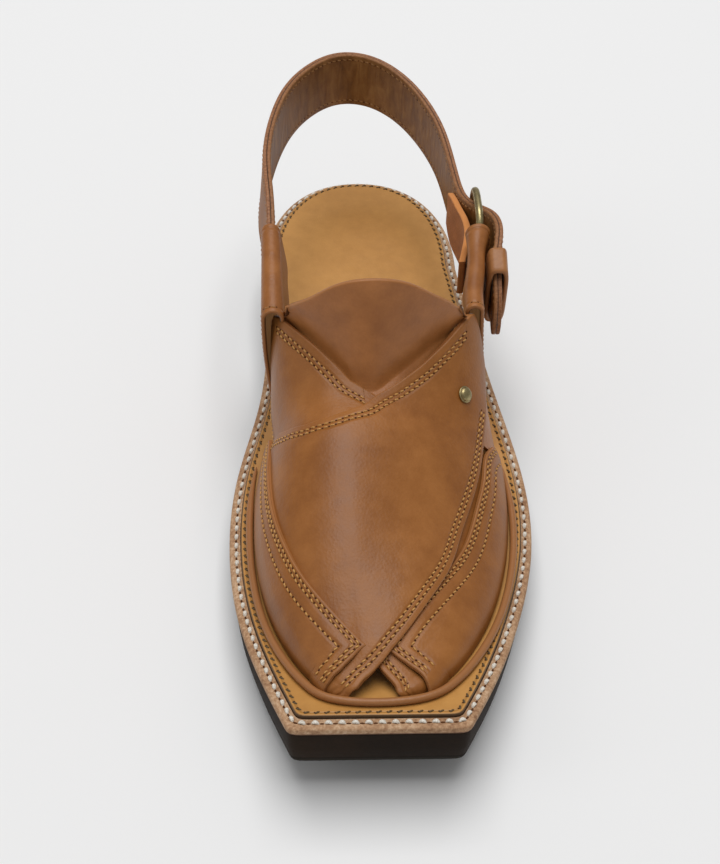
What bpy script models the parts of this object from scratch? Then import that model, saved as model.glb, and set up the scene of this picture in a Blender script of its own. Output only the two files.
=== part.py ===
"""A peshawari chappal, left shoe: a rubber sole with a stitched leather midsole and footbed, an upper of two
leather panels that cross over the foot and end in straps at the open toe, a tongue, two folded ears, and a
heel strap that buckles on the outer side.

Frame: +Z up, toe towards -Y, outer (lateral) side towards +X, origin on the floor in the middle of the
bounding box. Tables and sizes are in millimetres; make_object turns them into metres."""

import math

import bpy
import numpy as np

MM = 0.001

# ---------------------------------------------------------------- driving sizes
LENGTH = 306.0
TOE_Y = -LENGTH / 2
MIDSOLE_Z = (0.3, 3.9)      # bottom and top of the midsole, above the top of the rubber
FOOTBED_Z = (4.2, 6.8)      # the same for the footbed
FOOTBED_INSET = 4.4         # from the edge of the sole to the edge of the footbed
RAND_RADIUS = 1.4           # half the thickness of the cord that hides the foot of the upper
UNDER_PANEL = 1.8           # thickness of the upper's two panels
OVER_PANEL = 2.4
GAP = 0.3                   # clearance between pieces that touch

# Plan of the sole: fraction of the length from the toe, half width on the medial and on the lateral side
SOLE_PLAN = [
    (0.00, 29.8, 29.8),
    (0.07, 37.8, 40.0),
    (0.18, 48.0, 52.6),
    (0.30, 52.8, 61.1),
    (0.42, 50.8, 61.0),
    (0.54, 43.2, 54.8),
    (0.66, 40.6, 48.5),
    (0.80, 42.4, 42.3),
]
HEEL_START = 0.80           # from here a superellipse closes the plan round the heel
HEEL_POWER = 2.2

# Side of the sole: fraction of the length, height of the rubber's top, height of its underside
SOLE_SIDE = [
    (0.00, 33.7, 16.5),
    (0.08, 26.8, 10.0),
    (0.17, 20.8, 4.6),
    (0.25, 17.4, 1.2),
    (0.30, 16.4, 0.0),
    (0.33, 16.2, 0.0),
    (0.40, 16.6, 0.0),
    (0.52, 19.0, 3.4),
    (0.60, 21.0, 2.6),
    (0.68, 22.8, 0.0),
    (0.85, 25.6, 0.0),
    (0.96, 26.4, 0.0),
    (1.00, 26.6, 2.0),
]

# Feather line, where the upper meets the footbed: y, medial half width, lateral half width
FEATHER = [
    (-145.2, 0.0, 0.0),
    (-142.9, 16.2, 16.4),
    (-136.8, 24.4, 26.0),
    (-123.0, 32.8, 36.2),
    (-106.0, 39.4, 44.6),
    (-83.0, 44.2, 51.6),
    (-57.0, 46.2, 55.2),
    (-30.0, 45.0, 54.0),
    (-8.0, 41.5, 50.0),
    (20.0, 39.0, 46.0),
    (50.0, 37.0, 43.0),
]
LAST_INSET = 8.0            # from the feather line in to the foot of the last, at the sides
TIP_INSET = 5.9             # the same at the toe

# Sections of the last: y, how far the medial and the lateral side bulge half way down, height and x of the
# crest, squareness of the medial and of the lateral half (2 is an ellipse)
LAST = [
    (-141.0, 0.0, 0.0, 38.4, -4.0, 2.3, 2.0),
    (-128.0, 0.0, 0.0, 40.6, -5.0, 2.3, 1.8),
    (-115.0, 0.0, 0.0, 45.3, -5.8, 2.3, 1.6),
    (-100.0, 0.0, 0.0, 50.8, -6.6, 2.3, 1.4),
    (-85.0, 0.0, 0.0, 55.8, -7.2, 2.25, 1.35),
    (-70.0, -0.3, 0.0, 60.3, -7.8, 2.25, 1.4),
    (-55.0, -1.6, 0.4, 65.0, -8.2, 2.3, 1.5),
    (-42.0, -3.0, 1.8, 67.8, -8.2, 2.5, 1.6),
    (-30.0, -3.2, 3.0, 69.0, -7.5, 2.6, 1.75),
    (-18.0, -2.8, 3.4, 75.0, -6.8, 2.9, 2.0),
    (-6.0, -1.0, 3.4, 86.0, -6.5, 3.3, 2.3),
    (10.0, 1.5, 3.4, 113.0, -6.0, 3.8, 2.8),
]
FOOT_GAP = 0.75             # from the footbed up to the foot of the last
FOOT_TUCK = 1.4             # the layers are drawn in by this much where they meet the footbed
TUCK_FROM = 0.7             # and this starts at this share of the way from crest to foot

# Each panel is laid out on the last as rows from the toe to the ear. A place on the last is (s, y): s runs
# from -1 at the medial foot over 0 at the crest to 1 at the lateral foot. Row: place along the panel, y at
# the foot of the last, then s and y at the free edge.
OVER_PANEL_SIDE = -1        # the panel that lies on top stands on the medial side of the footbed
OVER_PANEL_ROWS = [
    (0.00, -136.2, -1.00, -138.9),
    (0.04, -135.2, -0.83, -138.9),
    (0.08, -134.0, -0.48, -138.5),
    (0.12, -132.0, 0.00, -137.0),
    (0.17, -128.5, 0.19, -132.2),
    (0.22, -124.5, 0.275, -128.9),
    (0.28, -119.0, 0.35, -123.8),
    (0.35, -112.5, 0.43, -117.3),
    (0.43, -104.5, 0.52, -106.8),
    (0.51, -95.0, 0.60, -94.5),
    (0.60, -84.0, 0.65, -78.5),
    (0.70, -70.5, 0.69, -62.0),
    (0.80, -57.0, 0.707, -46.0),
    (0.90, -43.0, 0.70, -27.0),
    (1.00, -30.0, 0.69, -5.0),
]
# Rear edge of a panel from its foot to its free edge: share of the width, s, y
OVER_PANEL_REAR = [
    (0.00, -1.00, -24.0),
    (0.16, -0.70, -28.0),
    (0.23, -0.58, -31.0),
    (0.32, -0.44, -36.8),
    (0.42, -0.275, -41.3),
    (0.50, -0.14, -41.3),
    (0.57, -0.025, -39.1),
    (0.63, 0.067, -36.1),
    (0.66, 0.105, -30.8),
    (0.72, 0.20, -24.6),
    (0.78, 0.292, -17.5),
    (0.85, 0.392, -8.6),
    (0.90, 0.45, -0.4),
    (0.94, 0.50, 5.5),
    (0.97, 0.60, 4.0),
    (1.00, 0.69, 0.0),
]
UNDER_PANEL_SIDE = 1        # the panel beneath stands on the lateral side
UNDER_PANEL_ROWS = [
    (0.00, -136.2, 1.00, -138.6),
    (0.04, -135.4, 0.81, -138.5),
    (0.08, -134.0, 0.53, -136.8),
    (0.12, -132.0, 0.317, -133.6),
    (0.17, -128.5, 0.208, -130.6),
    (0.24, -122.5, 0.05, -124.5),
    (0.32, -115.5, -0.12, -116.0),
    (0.42, -105.0, -0.34, -103.0),
    (0.52, -93.0, -0.50, -87.0),
    (0.62, -80.0, -0.60, -70.0),
    (0.72, -67.0, -0.67, -53.0),
    (0.82, -54.0, -0.72, -37.0),
    (0.91, -43.0, -0.78, -20.0),
    (1.00, -33.0, -0.85, 1.6),
]
UNDER_PANEL_REAR = [
    (0.00, 1.00, -33.0),
    (0.12, 0.78, -33.5),
    (0.25, 0.55, -36.0),
    (0.36, 0.32, -37.5),
    (0.45, 0.17, -35.0),
    (0.50, 0.108, -30.0),
    (0.58, -0.017, -23.8),
    (0.66, -0.142, -17.0),
    (0.72, -0.233, -9.5),
    (0.79, -0.34, -3.6),
    (0.83, -0.39, -2.8),
    (0.88, -0.52, -1.2),
    (0.94, -0.68, 0.4),
    (1.00, -0.85, 1.6),
]
# Heights of the layers above the last: inner face of each
UNDER_LIFT = 0.6
OVER_LIFT = 1.5             # less than the under panel's outer face, so that the two are one solid
MEDIAL_WING_LIFT = 4.6
LATERAL_WING_LIFT = 3.3
WING = 1.5                  # thickness of the wings
RISE = 4.3                  # the over panel climbs this much to cross the lateral wing
RISE_Y = (-91.0, -81.0)     # all of it before the first, none behind the second

# Wings, the overlays that carry the panels down to the sole: place along the wing, y at its foot, s and y at
# its upper edge, from the toe to the rear
MEDIAL_WING_ROWS = [
    (0.00, -134.2, 0.058, -124.5),
    (0.10, -124.5, -0.18, -116.5),
    (0.22, -112.0, -0.36, -105.0),
    (0.36, -96.0, -0.455, -91.5),
    (0.52, -77.0, -0.52, -74.5),
    (0.68, -58.0, -0.585, -56.0),
    (0.84, -38.5, -0.645, -38.5),
    (1.00, -20.0, -0.705, -27.5),
]
# Front edge of a wing from its foot to its upper edge: share of the height, s, y
MEDIAL_WING_FRONT = [
    (0.00, -1.00, -134.2),
    (0.18, -0.80, -135.0),
    (0.38, -0.60, -134.2),
    (0.62, -0.34, -131.4),
    (0.84, -0.12, -127.9),
    (1.00, 0.058, -124.5),
]
LATERAL_WING_ROWS = [
    (0.00, -135.0, 0.27, -124.8),
    (0.10, -126.0, 0.33, -117.5),
    (0.22, -113.0, 0.45, -107.0),
    (0.36, -97.0, 0.575, -95.0),
    (0.52, -79.0, 0.690, -79.0),
    (0.68, -61.0, 0.728, -60.0),
    (0.84, -45.0, 0.735, -45.0),
    (0.95, -34.0, 0.745, -34.0),
    (1.00, -29.0, 0.800, -28.2),
]
LATERAL_WING_FRONT = [
    (0.00, 1.00, -135.0),
    (0.18, 0.87, -134.3),
    (0.36, 0.733, -132.2),
    (0.56, 0.60, -129.4),
    (0.78, 0.43, -126.9),
    (1.00, 0.27, -124.8),
]

# Tongue: share of the way from the medial ear to the lateral one, place (s, y) where it leaves the panels,
# then x, y and z of its top edge
TONGUE_ROWS = [
    (0.00, -0.37, -1.0, -30.5, 0.5, 83.0),
    (0.12, -0.29, -5.5, -29.5, -4.5, 90.0),
    (0.26, -0.18, -14.0, -22.5, -9.5, 98.0),
    (0.40, -0.03, -23.0, -12.0, -12.8, 106.5),
    (0.50, 0.08, -28.0, -1.0, -14.0, 109.0),
    (0.60, 0.16, -24.0, 11.5, -12.8, 106.8),
    (0.74, 0.27, -15.5, 22.5, -9.5, 98.5),
    (0.88, 0.38, -6.5, 31.0, -5.0, 90.0),
    (1.00, 0.44, -1.0, 35.5, 0.0, 82.5),
]
TONGUE = 2.0                # thickness
TONGUE_LIFT = -0.6          # its outer face, where it lies under the panels
TONGUE_HIDDEN = 9.0         # length that lies under the panels

# Ears, sleeves folded over a roll. Row: y at the foot and at the roll, x and z of the foot of the outer
# wall, x half way up, x and z of the middle of the roll, its radius, x and z of the free inner edge
EAR = 1.7                   # thickness
MEDIAL_EAR = [
    (6.0, -2.0, -37.0, 26.5, -39.6, -35.8, 81.8, 3.5, -32.2, 77.5),
    (16.0, 8.5, -36.4, 27.1, -39.8, -36.0, 84.0, 3.4, -31.2, 75.5),
    (26.0, 19.5, -35.6, 27.9, -39.9, -36.3, 86.2, 3.2, -30.6, 76.0),
    (37.0, 30.5, -34.8, 28.8, -39.8, -36.6, 88.2, 3.0, -31.6, 80.0),
    (47.0, 41.0, -34.0, 29.6, -39.9, -37.0, 90.4, 2.8, -33.4, 87.0),
]
LATERAL_EAR = [
    (9.0, 7.5, 49.2, 27.0, 46.0, 40.6, 79.6, 2.8, 37.8, 73.0),
    (20.0, 17.0, 48.0, 27.9, 46.2, 41.2, 80.6, 2.7, 38.6, 72.5),
    (31.0, 26.5, 46.6, 28.7, 46.4, 42.6, 81.8, 2.7, 40.0, 73.0),
    (41.0, 36.5, 44.8, 29.6, 46.6, 43.5, 83.0, 2.7, 41.0, 75.0),
    (49.5, 46.5, 43.2, 30.3, 48.7, 44.8, 84.2, 4.3, 41.4, 79.0),
]

# Heel strap, a ribbon on edge. Row: x, y and z of its middle, height, and how far its lower edge stands out
# beyond its upper edge
STRAP = 3.2                 # thickness
HEEL_STRAP = [
    (-36.5, 24.0, 79.5, 15.0, 0.0),
    (-36.7, 34.0, 80.0, 18.5, 0.0),
    (-36.9, 43.0, 80.0, 20.5, 0.0),
    (-38.6, 56.0, 82.0, 25.0, 2.5),
    (-40.0, 70.0, 84.2, 25.0, 3.0),
    (-39.6, 86.0, 86.5, 25.0, 1.5),
    (-36.6, 104.0, 89.0, 25.0, 0.5),
    (-31.0, 122.0, 90.5, 25.0, 0.0),
    (-21.0, 138.5, 90.8, 25.0, 0.0),
    (-8.0, 148.5, 90.0, 25.0, 0.0),
    (5.0, 149.8, 87.5, 25.0, 0.0),
    (17.5, 143.5, 83.5, 25.0, 0.0),
    (27.5, 131.0, 79.0, 25.0, 0.0),
    (34.0, 116.0, 75.0, 24.5, 0.0),
    (37.4, 100.0, 71.5, 24.0, 0.0),
    (39.0, 88.0, 70.0, 23.5, 0.0),
    (40.3, 79.0, 70.2, 22.5, 0.0),
    (42.6, 71.0, 71.5, 22.0, 0.0),
    (46.8, 64.5, 73.0, 22.0, 0.0),
    (50.6, 58.5, 75.0, 22.0, 0.0),
    (52.9, 51.0, 76.0, 22.0, 0.0),
    (52.8, 43.0, 75.4, 22.0, 0.0),
    (51.6, 35.0, 72.6, 22.0, 0.0),
    (51.3, 26.0, 68.6, 21.0, 0.0),
    (51.2, 15.0, 63.0, 17.0, 0.0),
]

# Buckle: a frame bent from round brass wire in an upright plane, and its prong
BUCKLE_WIRE = 1.5           # radius
BUCKLE_CENTRE = (45.6, 61.2, 73.4)
BUCKLE_HALF = (13.5, 15.4)  # half length along the shoe, half height
BUCKLE_TURN = math.radians(1.0)    # the frame's rear end turns towards the heel strap
PRONG_RADIUS = 1.1

# Suede tab behind the buckle. Row: y, x of its middle, height of its lower and upper edge
TAB = 2.2                   # thickness
BUCKLE_TAB = [
    (40.0, 38.6, 58.5, 75.0),
    (48.0, 40.6, 57.0, 77.0),
    (57.0, 41.8, 56.0, 78.5),
    (64.0, 40.9, 55.5, 79.0),
    (70.5, 39.2, 56.0, 79.0),
    (76.0, 37.9, 57.5, 79.0),
    (82.0, 36.8, 62.0, 77.5),
]

# Keeper, a loop of leather round the strap's end and sewn to the outer ear
KEEPER = 1.8                # thickness
KEEPER_Y = (25.5, 36.0)
KEEPER_CENTRE = (51.45, 70.6)        # x and z
KEEPER_HALF = (2.4, 13.4)           # half width and half height inside
KEEPER_LEAN = -0.1          # y gained for each millimetre of height
KEEPER_RUN = 0.40           # height gained for each millimetre towards the heel, like the strap inside it
STUD_PLACE = (0.515, -20.0) # s, y: a plain round brass stud near the outer ear
STUD_RADIUS = 3.2


# ---------------------------------------------------------------- curves and the last
def spline(xs, ys, x):
    """Natural cubic spline through (xs, ys), read at x."""
    xs, ys, x = (np.asarray(v, float) for v in (xs, ys, x))
    h = np.diff(xs)
    slope = np.diff(ys) / h
    n = len(xs)
    a = np.eye(n)
    b = np.zeros(n)
    for i in range(1, n - 1):
        a[i, i - 1:i + 2] = h[i - 1], 2 * (h[i - 1] + h[i]), h[i]
        b[i] = 6 * (slope[i] - slope[i - 1])
    m = np.linalg.solve(a, b)
    i = np.clip(np.searchsorted(xs, x) - 1, 0, n - 2)
    t = x - xs[i]
    return (ys[i] + t * (slope[i] - h[i] * (2 * m[i] + m[i + 1]) / 6)
            + t ** 2 * m[i] / 2 + t ** 3 * (m[i + 1] - m[i]) / (6 * h[i]))


def columns(table):
    return [np.array(column, float) for column in zip(*table)]


def smooth_step(x):
    x = np.clip(x, 0, 1)
    return x * x * (3 - 2 * x)


def rubber_top(y):
    t, top, _ = columns(SOLE_SIDE)
    return spline(t, top, np.clip((np.asarray(y, float) - TOE_Y) / LENGTH, 0, 1))


def rubber_bottom(y):
    t, _, bottom = columns(SOLE_SIDE)
    return np.interp((np.asarray(y, float) - TOE_Y) / LENGTH, t, bottom)


def footbed_top(y):
    return rubber_top(y) + FOOTBED_Z[1]


def feather(y, inset=0.0, tip_inset=0.0):
    """Half widths (medial, lateral) at y of the feather line moved in by inset, and by tip_inset at the toe."""
    ys, medial, lateral = columns(FEATHER)
    root = np.sqrt(ys - ys[0])          # the toe is round: its width grows with the root of the distance
    here = np.sqrt(np.maximum(np.asarray(y, float) - ys[0] - tip_inset, 0))
    move = inset * np.clip(here / 3.2, 0, 1)
    return np.maximum(spline(root, medial, here) - move, 0), np.maximum(spline(root, lateral, here) - move, 0)


def make_last(rows=200, half=60, fine=90):
    """The last's surface as a grid: y of the rows, s of the columns, points and outward normals."""
    front = FEATHER[0][0] + TIP_INSET
    ys = front + (LAST[-1][0] - front) * np.linspace(0, 1, rows) ** 2
    table = columns(LAST)
    angle = np.linspace(0, math.pi / 2, fine)
    s = np.linspace(-1, 1, 2 * half + 1)
    points = np.zeros((rows, 2 * half + 1, 3))
    for row, y in zip(points, ys):
        bulge_m, bulge_l, crest_z, crest_x, square_m, square_l = (spline(table[0], c, y) for c in table[1:])
        foot_m, foot_l = feather(y, LAST_INSET, TIP_INSET)
        foot_z = footbed_top(y) + FOOT_GAP
        crest_z = max(crest_z, foot_z + 1.0)
        crest_x *= min(1, foot_m / 8)
        for side, foot, square, bulge in ((-1, foot_m, square_m, bulge_m), (1, foot_l, square_l, bulge_l)):
            reach = max(foot - side * crest_x, 0.2)
            x = crest_x + side * reach * np.sin(angle) ** (2 / square)
            z = foot_z + (crest_z - foot_z) * np.cos(angle) ** (2 / square)
            way = np.concatenate(([0], np.cumsum(np.hypot(np.diff(x), np.diff(z)))))
            way /= way[-1]
            x = x + side * bulge * 4 * way * (1 - way)
            there = s * side >= 0
            row[there, 0] = np.interp(s[there] * side, way, x)
            row[there, 2] = np.interp(s[there] * side, way, z)
        row[:, 1] = y
    normals = np.cross(np.gradient(points, axis=1), np.gradient(points, axis=0))
    normals /= np.linalg.norm(normals, axis=2)[:, :, None] + 1e-12
    normals *= np.sign(normals[:, half, 2].mean())
    return ys, s, points, normals


LAST_Y, LAST_S, LAST_POINTS, LAST_NORMALS = make_last()


def on_last(s, y, lift):
    """Points above the last at the places (s, y)."""
    s, y, lift = np.broadcast_arrays(*(np.asarray(v, float) for v in (s, y, lift)))
    i = np.clip(np.interp(y, LAST_Y, np.arange(len(LAST_Y))), 0, len(LAST_Y) - 1.001)
    j = np.clip((s + 1) / 2 * (len(LAST_S) - 1), 0, len(LAST_S) - 1.001)
    i0, j0 = i.astype(int), j.astype(int)
    fi, fj = (i - i0)[..., None], (j - j0)[..., None]

    def read(grid):
        return (grid[i0, j0] * (1 - fi) * (1 - fj) + grid[i0 + 1, j0] * fi * (1 - fj)
                + grid[i0, j0 + 1] * (1 - fi) * fj + grid[i0 + 1, j0 + 1] * fi * fj)

    normal = read(LAST_NORMALS)
    normal /= np.linalg.norm(normal, axis=-1)[..., None]
    tuck = FOOT_TUCK * np.clip((np.abs(s) - TUCK_FROM) / (1 - TUCK_FROM), 0, 1)
    points = read(LAST_POINTS) + normal * (lift - tuck)[..., None]
    points[..., 2] = np.maximum(points[..., 2], footbed_top(points[..., 1]) + FOOT_GAP)
    return points


def sole_edge(inset=0.0, side_steps=22, heel_steps=12):
    """Plan of the sole from the medial toe corner round the heel to the lateral toe corner, moved in by inset."""
    t, medial, lateral = columns(SOLE_PLAN)
    along = np.linspace(0, HEEL_START, side_steps, endpoint=False)
    angle = np.linspace(0, math.pi / 2, heel_steps)
    along = np.concatenate((along, HEEL_START + (1 - HEEL_START) * np.sin(angle) ** (2 / HEEL_POWER)))
    close = np.concatenate((np.ones(side_steps), np.cos(angle) ** (2 / HEEL_POWER)))
    y = TOE_Y + along * LENGTH
    held = np.minimum(along, HEEL_START)
    left = np.column_stack((-spline(t, medial, held) * close, y))
    right = np.column_stack((spline(t, lateral, held) * close, y))
    loop = np.concatenate((left, right[::-1][1:]))
    if inset == 0:
        return loop
    tangent = np.gradient(loop, axis=0)
    inward = np.column_stack((tangent[:, 1], -tangent[:, 0]))
    loop = loop + inward / np.linalg.norm(inward, axis=1)[:, None] * inset
    for run in (loop, loop[::-1]):      # both ends are cut square by the toe's own inset edge
        first = max(int(np.argmax(run[:, 1] > TOE_Y + inset)), 1)
        share = (TOE_Y + inset - run[first - 1, 1]) / (run[first, 1] - run[first - 1, 1])
        run[:first] = run[first - 1] + (run[first] - run[first - 1]) * share
    return loop


CENTRE_X = sole_edge()[:, 0].min() / 2 + sole_edge()[:, 0].max() / 2


# ---------------------------------------------------------------- making objects
def clear_scene():
    for obj in list(bpy.data.objects):
        bpy.data.objects.remove(obj, do_unlink=True)


def collection(name):
    made = bpy.data.collections.new(name)
    bpy.context.scene.collection.children.link(made)
    return made


def material(name, colour, roughness, metallic=0.0):
    made = bpy.data.materials.new(name)
    made.use_nodes = True
    shader = made.node_tree.nodes["Principled BSDF"]
    shader.inputs["Base Color"].default_value = (*colour, 1.0)
    shader.inputs["Roughness"].default_value = roughness
    shader.inputs["Metallic"].default_value = metallic
    return made


def make_object(name, points, faces, finish, home, smooth_angle=40):
    """An object from points in millimetres and its faces, shaded smooth."""
    mesh = bpy.data.meshes.new(name)
    placed = (np.asarray(points, float) - (CENTRE_X, 0, 0)) * MM
    mesh.from_pydata(placed.tolist(), [], faces)
    mesh.materials.append(finish)
    mesh.shade_smooth()
    mesh.set_sharp_from_angle(angle=math.radians(smooth_angle))
    obj = bpy.data.objects.new(name, mesh)
    home.objects.link(obj)
    return obj


def grid_faces(rows, columns_, closed=False):
    """Quads of a grid of points. A closed grid joins its last column to its first."""
    faces = []
    for i in range(rows - 1):
        for j in range(columns_ if closed else columns_ - 1):
            k = (j + 1) % columns_
            faces.append((i * columns_ + j, i * columns_ + k, (i + 1) * columns_ + k, (i + 1) * columns_ + j))
    return faces


def plate(name, rings, finish, home):
    """A solid between rings, each a loop of points in the order of sole_edge, from the lowest to the highest. Its
    bottom and top are strips from the medial side straight across to the lateral side."""
    n = len(rings[0])
    faces = [face[::-1] for face in grid_faces(len(rings), n, closed=True)]
    top = (len(rings) - 1) * n
    for i in range((n - 1) // 2):
        across = (i, i + 1, n - 2 - i, n - 1 - i)
        across = tuple(dict.fromkeys(across))       # the strip at the heel is a triangle
        faces.append(across)
        faces.append(tuple(top + k for k in reversed(across)))
    return make_object(name, np.concatenate(rings), faces, finish, home)


def sheet(name, grid, thickness, finish, home):
    """Leather of even thickness, laid out from a grid of points on its outer face."""
    rows, cols = grid.shape[:2]
    obj = make_object(name, grid.reshape(-1, 3), grid_faces(rows, cols), finish, home)
    solid = obj.modifiers.new("Thickness", "SOLIDIFY")
    solid.thickness = thickness * MM
    solid.offset = -1
    solid.use_even_offset = True
    return obj


def ribbon(name, sections, finish, home):
    """A solid swept through sections, each a ring with the same number of points, closed at both ends."""
    rows, n = sections.shape[:2]
    faces = grid_faces(rows, n, closed=True)
    faces.append(tuple(range(n))[::-1])
    faces.append(tuple((rows - 1) * n + k for k in range(n)))
    return make_object(name, sections.reshape(-1, 3), faces, finish, home)


def wire(name, path, radius, finish, home, cyclic=False, sides=2):
    """A round wire along a path in millimetres, made as a mesh so that it can be cut or joined."""
    curve = bpy.data.curves.new(name, "CURVE")
    curve.dimensions = "3D"
    curve.bevel_depth = radius * MM
    curve.bevel_resolution = sides
    curve.use_fill_caps = not cyclic
    line = curve.splines.new("POLY")
    line.points.add(len(path) - 1)
    for point, place in zip(line.points, (np.asarray(path, float) - (CENTRE_X, 0, 0)) * MM):
        point.co = (*place, 1.0)
    line.use_cyclic_u = cyclic
    curve.materials.append(finish)
    obj = bpy.data.objects.new(name, curve)
    home.objects.link(obj)
    return obj


def join(obj, other):
    """Fuses the mesh of other into obj. The other object stays as a hidden helper."""
    union = obj.modifiers.new("Join", "BOOLEAN")
    union.operation = "UNION"
    union.solver = "EXACT"
    union.object = helper(other)


def helper(obj):
    """Hides an object that only serves to cut or join another."""
    obj.hide_render = True
    obj.display_type = "WIRE"
    return obj


# ---------------------------------------------------------------- laying leather on the last
def between(table, across, along):
    """Reads a table whose first column is a place, at the places in along, for the columns named by across."""
    data = columns(table)
    return [spline(data[0], data[k], along) for k in across]


def lay_out(rows, side, rear, front, steps, width_steps):
    """Grid of places (s, y) for a panel: from the toe to the rear, and across from its foot to its free edge.
    The rear and front edges are curves of their own, and the rows near them follow them."""
    along = np.linspace(0, 1, steps)[:, None]
    across = np.linspace(0, 1, width_steps)[None, :]
    foot_y, edge_s, edge_y = (v.reshape(-1, 1) for v in between(rows, (1, 2, 3), along.ravel()))
    s = side + (edge_s - side) * across
    y = foot_y + (edge_y - foot_y) * across
    for edge, row, weight in ((rear, -1, along ** 3), (front, 0, (1 - along) ** 6)):
        if edge is None:
            continue
        share, edge_s, edge_y = columns(edge)
        s = s + weight * (np.interp(across, share, edge_s) - s[row])
        y = y + weight * (np.interp(across, share, edge_y) - y[row])
    return np.clip(s, -1, 1), y


# ---------------------------------------------------------------- the pieces
def outsole(finish, home):
    """Rubber: an upright wall that narrows a little towards the floor, with a lip round its tread."""
    def ring(inset, height):
        loop = sole_edge(inset)
        return np.column_stack((loop, height(loop[:, 1])))
    plate("outsole", [
        ring(1.8, rubber_bottom),
        ring(1.2, lambda y: rubber_bottom(y) + 2.0),
        ring(0.8, lambda y: (rubber_bottom(y) + rubber_top(y)) / 2),
        ring(0.5, rubber_top),
    ], finish, home)


def layer(name, levels, finish, home):
    """A sole layer: pairs of inset and height above the rubber's top, from the lowest to the highest."""
    rings = []
    for inset, height in levels:
        loop = sole_edge(inset)
        rings.append(np.column_stack((loop, rubber_top(loop[:, 1]) + height)))
    plate(name, rings, finish, home)


def midsole(finish, home):
    low, high = MIDSOLE_Z
    layer("midsole", [(0.8, low), (0.0, low + 0.7), (0.0, high - 0.9), (0.9, high)], finish, home)


def footbed(finish, home):
    low, high = FOOTBED_Z
    edge = FOOTBED_INSET
    layer("footbed", [(edge, low), (edge, high - 0.7), (edge + 0.7, high)], finish, home)


def rand(finish, home):
    """The cord round the foot of the upper, from the rear of the medial wing round the toe."""
    tip = FEATHER[0][0] + RAND_RADIUS
    side = tip + (-24.0 - tip) * np.linspace(0, 1, 26) ** 2
    medial, lateral = feather(side, RAND_RADIUS * 0.75, RAND_RADIUS)
    y = np.concatenate((side[::-1], side[1:]))
    x = np.concatenate((-medial[::-1], lateral[1:]))
    z = footbed_top(y) + GAP + RAND_RADIUS
    wire("rand", np.column_stack((x, y, z)), RAND_RADIUS, finish, home, sides=1)


def over_rise(s, y):
    """How far the over panel lifts to cross the lateral wing."""
    behind, full = RISE_Y[1], RISE_Y[0]
    along = smooth_step((behind - y) / (behind - full)) * smooth_step((y + 132.0) / 4.5)
    edge_s = np.interp(y, *columns([(row[3], row[2]) for row in OVER_PANEL_ROWS]))
    return RISE * along * smooth_step((s - edge_s + 0.22) / 0.10)


def upper(finish, home, helpers):
    """One shell from two panels that cross: the under panel comes from the medial ear and runs to the lateral side
    of the toe, the over panel from the lateral ear to the medial side. They are one solid where they overlap."""
    s, y = lay_out(UNDER_PANEL_ROWS, UNDER_PANEL_SIDE, UNDER_PANEL_REAR, None, 27, 18)
    under = sheet("upper", on_last(s, y, UNDER_LIFT + UNDER_PANEL)[:, ::-1], UNDER_PANEL, finish, home)
    s, y = lay_out(OVER_PANEL_ROWS, OVER_PANEL_SIDE, OVER_PANEL_REAR, None, 28, 21)
    over = sheet("over_panel", on_last(s, y, OVER_LIFT + OVER_PANEL + over_rise(s, y)), OVER_PANEL, finish, helpers)
    join(under, over)


def wings(finish, home):
    s, y = lay_out(MEDIAL_WING_ROWS, -1, None, MEDIAL_WING_FRONT, 20, 9)
    sheet("wing_medial", on_last(s, y, MEDIAL_WING_LIFT + WING), WING, finish, home)
    s, y = lay_out(LATERAL_WING_ROWS, 1, None, LATERAL_WING_FRONT, 20, 9)
    sheet("wing_lateral", on_last(s, y, LATERAL_WING_LIFT + WING)[:, ::-1], WING, finish, home)


def tongue(finish, home):
    """Stands up from between the panels and arches from ear to ear."""
    place = np.linspace(0, 1, 17)
    s, y, top_x, top_y, top_z = between(TONGUE_ROWS, (1, 2, 3, 4, 5), place)
    top = np.column_stack((top_x, top_y, top_z))
    columns_ = []
    for k in range(len(place)):
        hidden = on_last(s[k], y[k] - TONGUE_HIDDEN, TONGUE_LIFT)
        edge = on_last(s[k], y[k], TONGUE_LIFT)
        rise = edge + (edge - hidden) * 0.5
        columns_.append([hidden] + [bend(edge, rise, top[k], u) for u in np.linspace(0, 1, 7)])
    grid = np.array(columns_).transpose(1, 0, 2)
    sheet("tongue", grid, TONGUE, finish, home)


def bend(start, middle, end, u):
    """A curve that leaves start towards middle and reaches end."""
    return (1 - u) ** 2 * start + 2 * u * (1 - u) * middle + u ** 2 * end


def ear(name, table, side, finish, home):
    """A folded sleeve: its outer wall stands on the footbed, rolls over at the top and ends in a short inner flap."""
    fine = between([(k / (len(table) - 1), *row) for k, row in enumerate(table)], range(1, 11),
                   np.linspace(0, 1, 9))
    rows = []
    for foot_y, roll_y, foot_x, foot_z, mid_x, roll_x, roll_z, radius, flap_x, flap_z in zip(*fine):
        outer = [(foot_x, foot_y, foot_z)]
        top_x = roll_x + side * (radius + EAR / 2)
        for u in (0.25, 0.5, 0.75):
            bow = 4 * u * (1 - u) * (mid_x - (foot_x + top_x) / 2)
            outer.append((foot_x + (top_x - foot_x) * u + bow, foot_y + (roll_y - foot_y) * u,
                          foot_z + (roll_z - foot_z) * u))
        for angle in np.radians([0, 36, 72, 108, 144, 180]):
            outer.append((roll_x + side * (radius + EAR / 2) * math.cos(angle), roll_y,
                          roll_z + (radius + EAR / 2) * math.sin(angle)))
        outer.append(((roll_x - side * (radius + EAR / 2) + flap_x) / 2, roll_y + 1.0, (roll_z + flap_z) / 2))
        outer.append((flap_x, roll_y + 2.0, flap_z))
        rows.append(outer)
    grid = np.array(rows)
    sheet(name, grid if side < 0 else grid[:, ::-1], EAR, finish, home)


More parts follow.
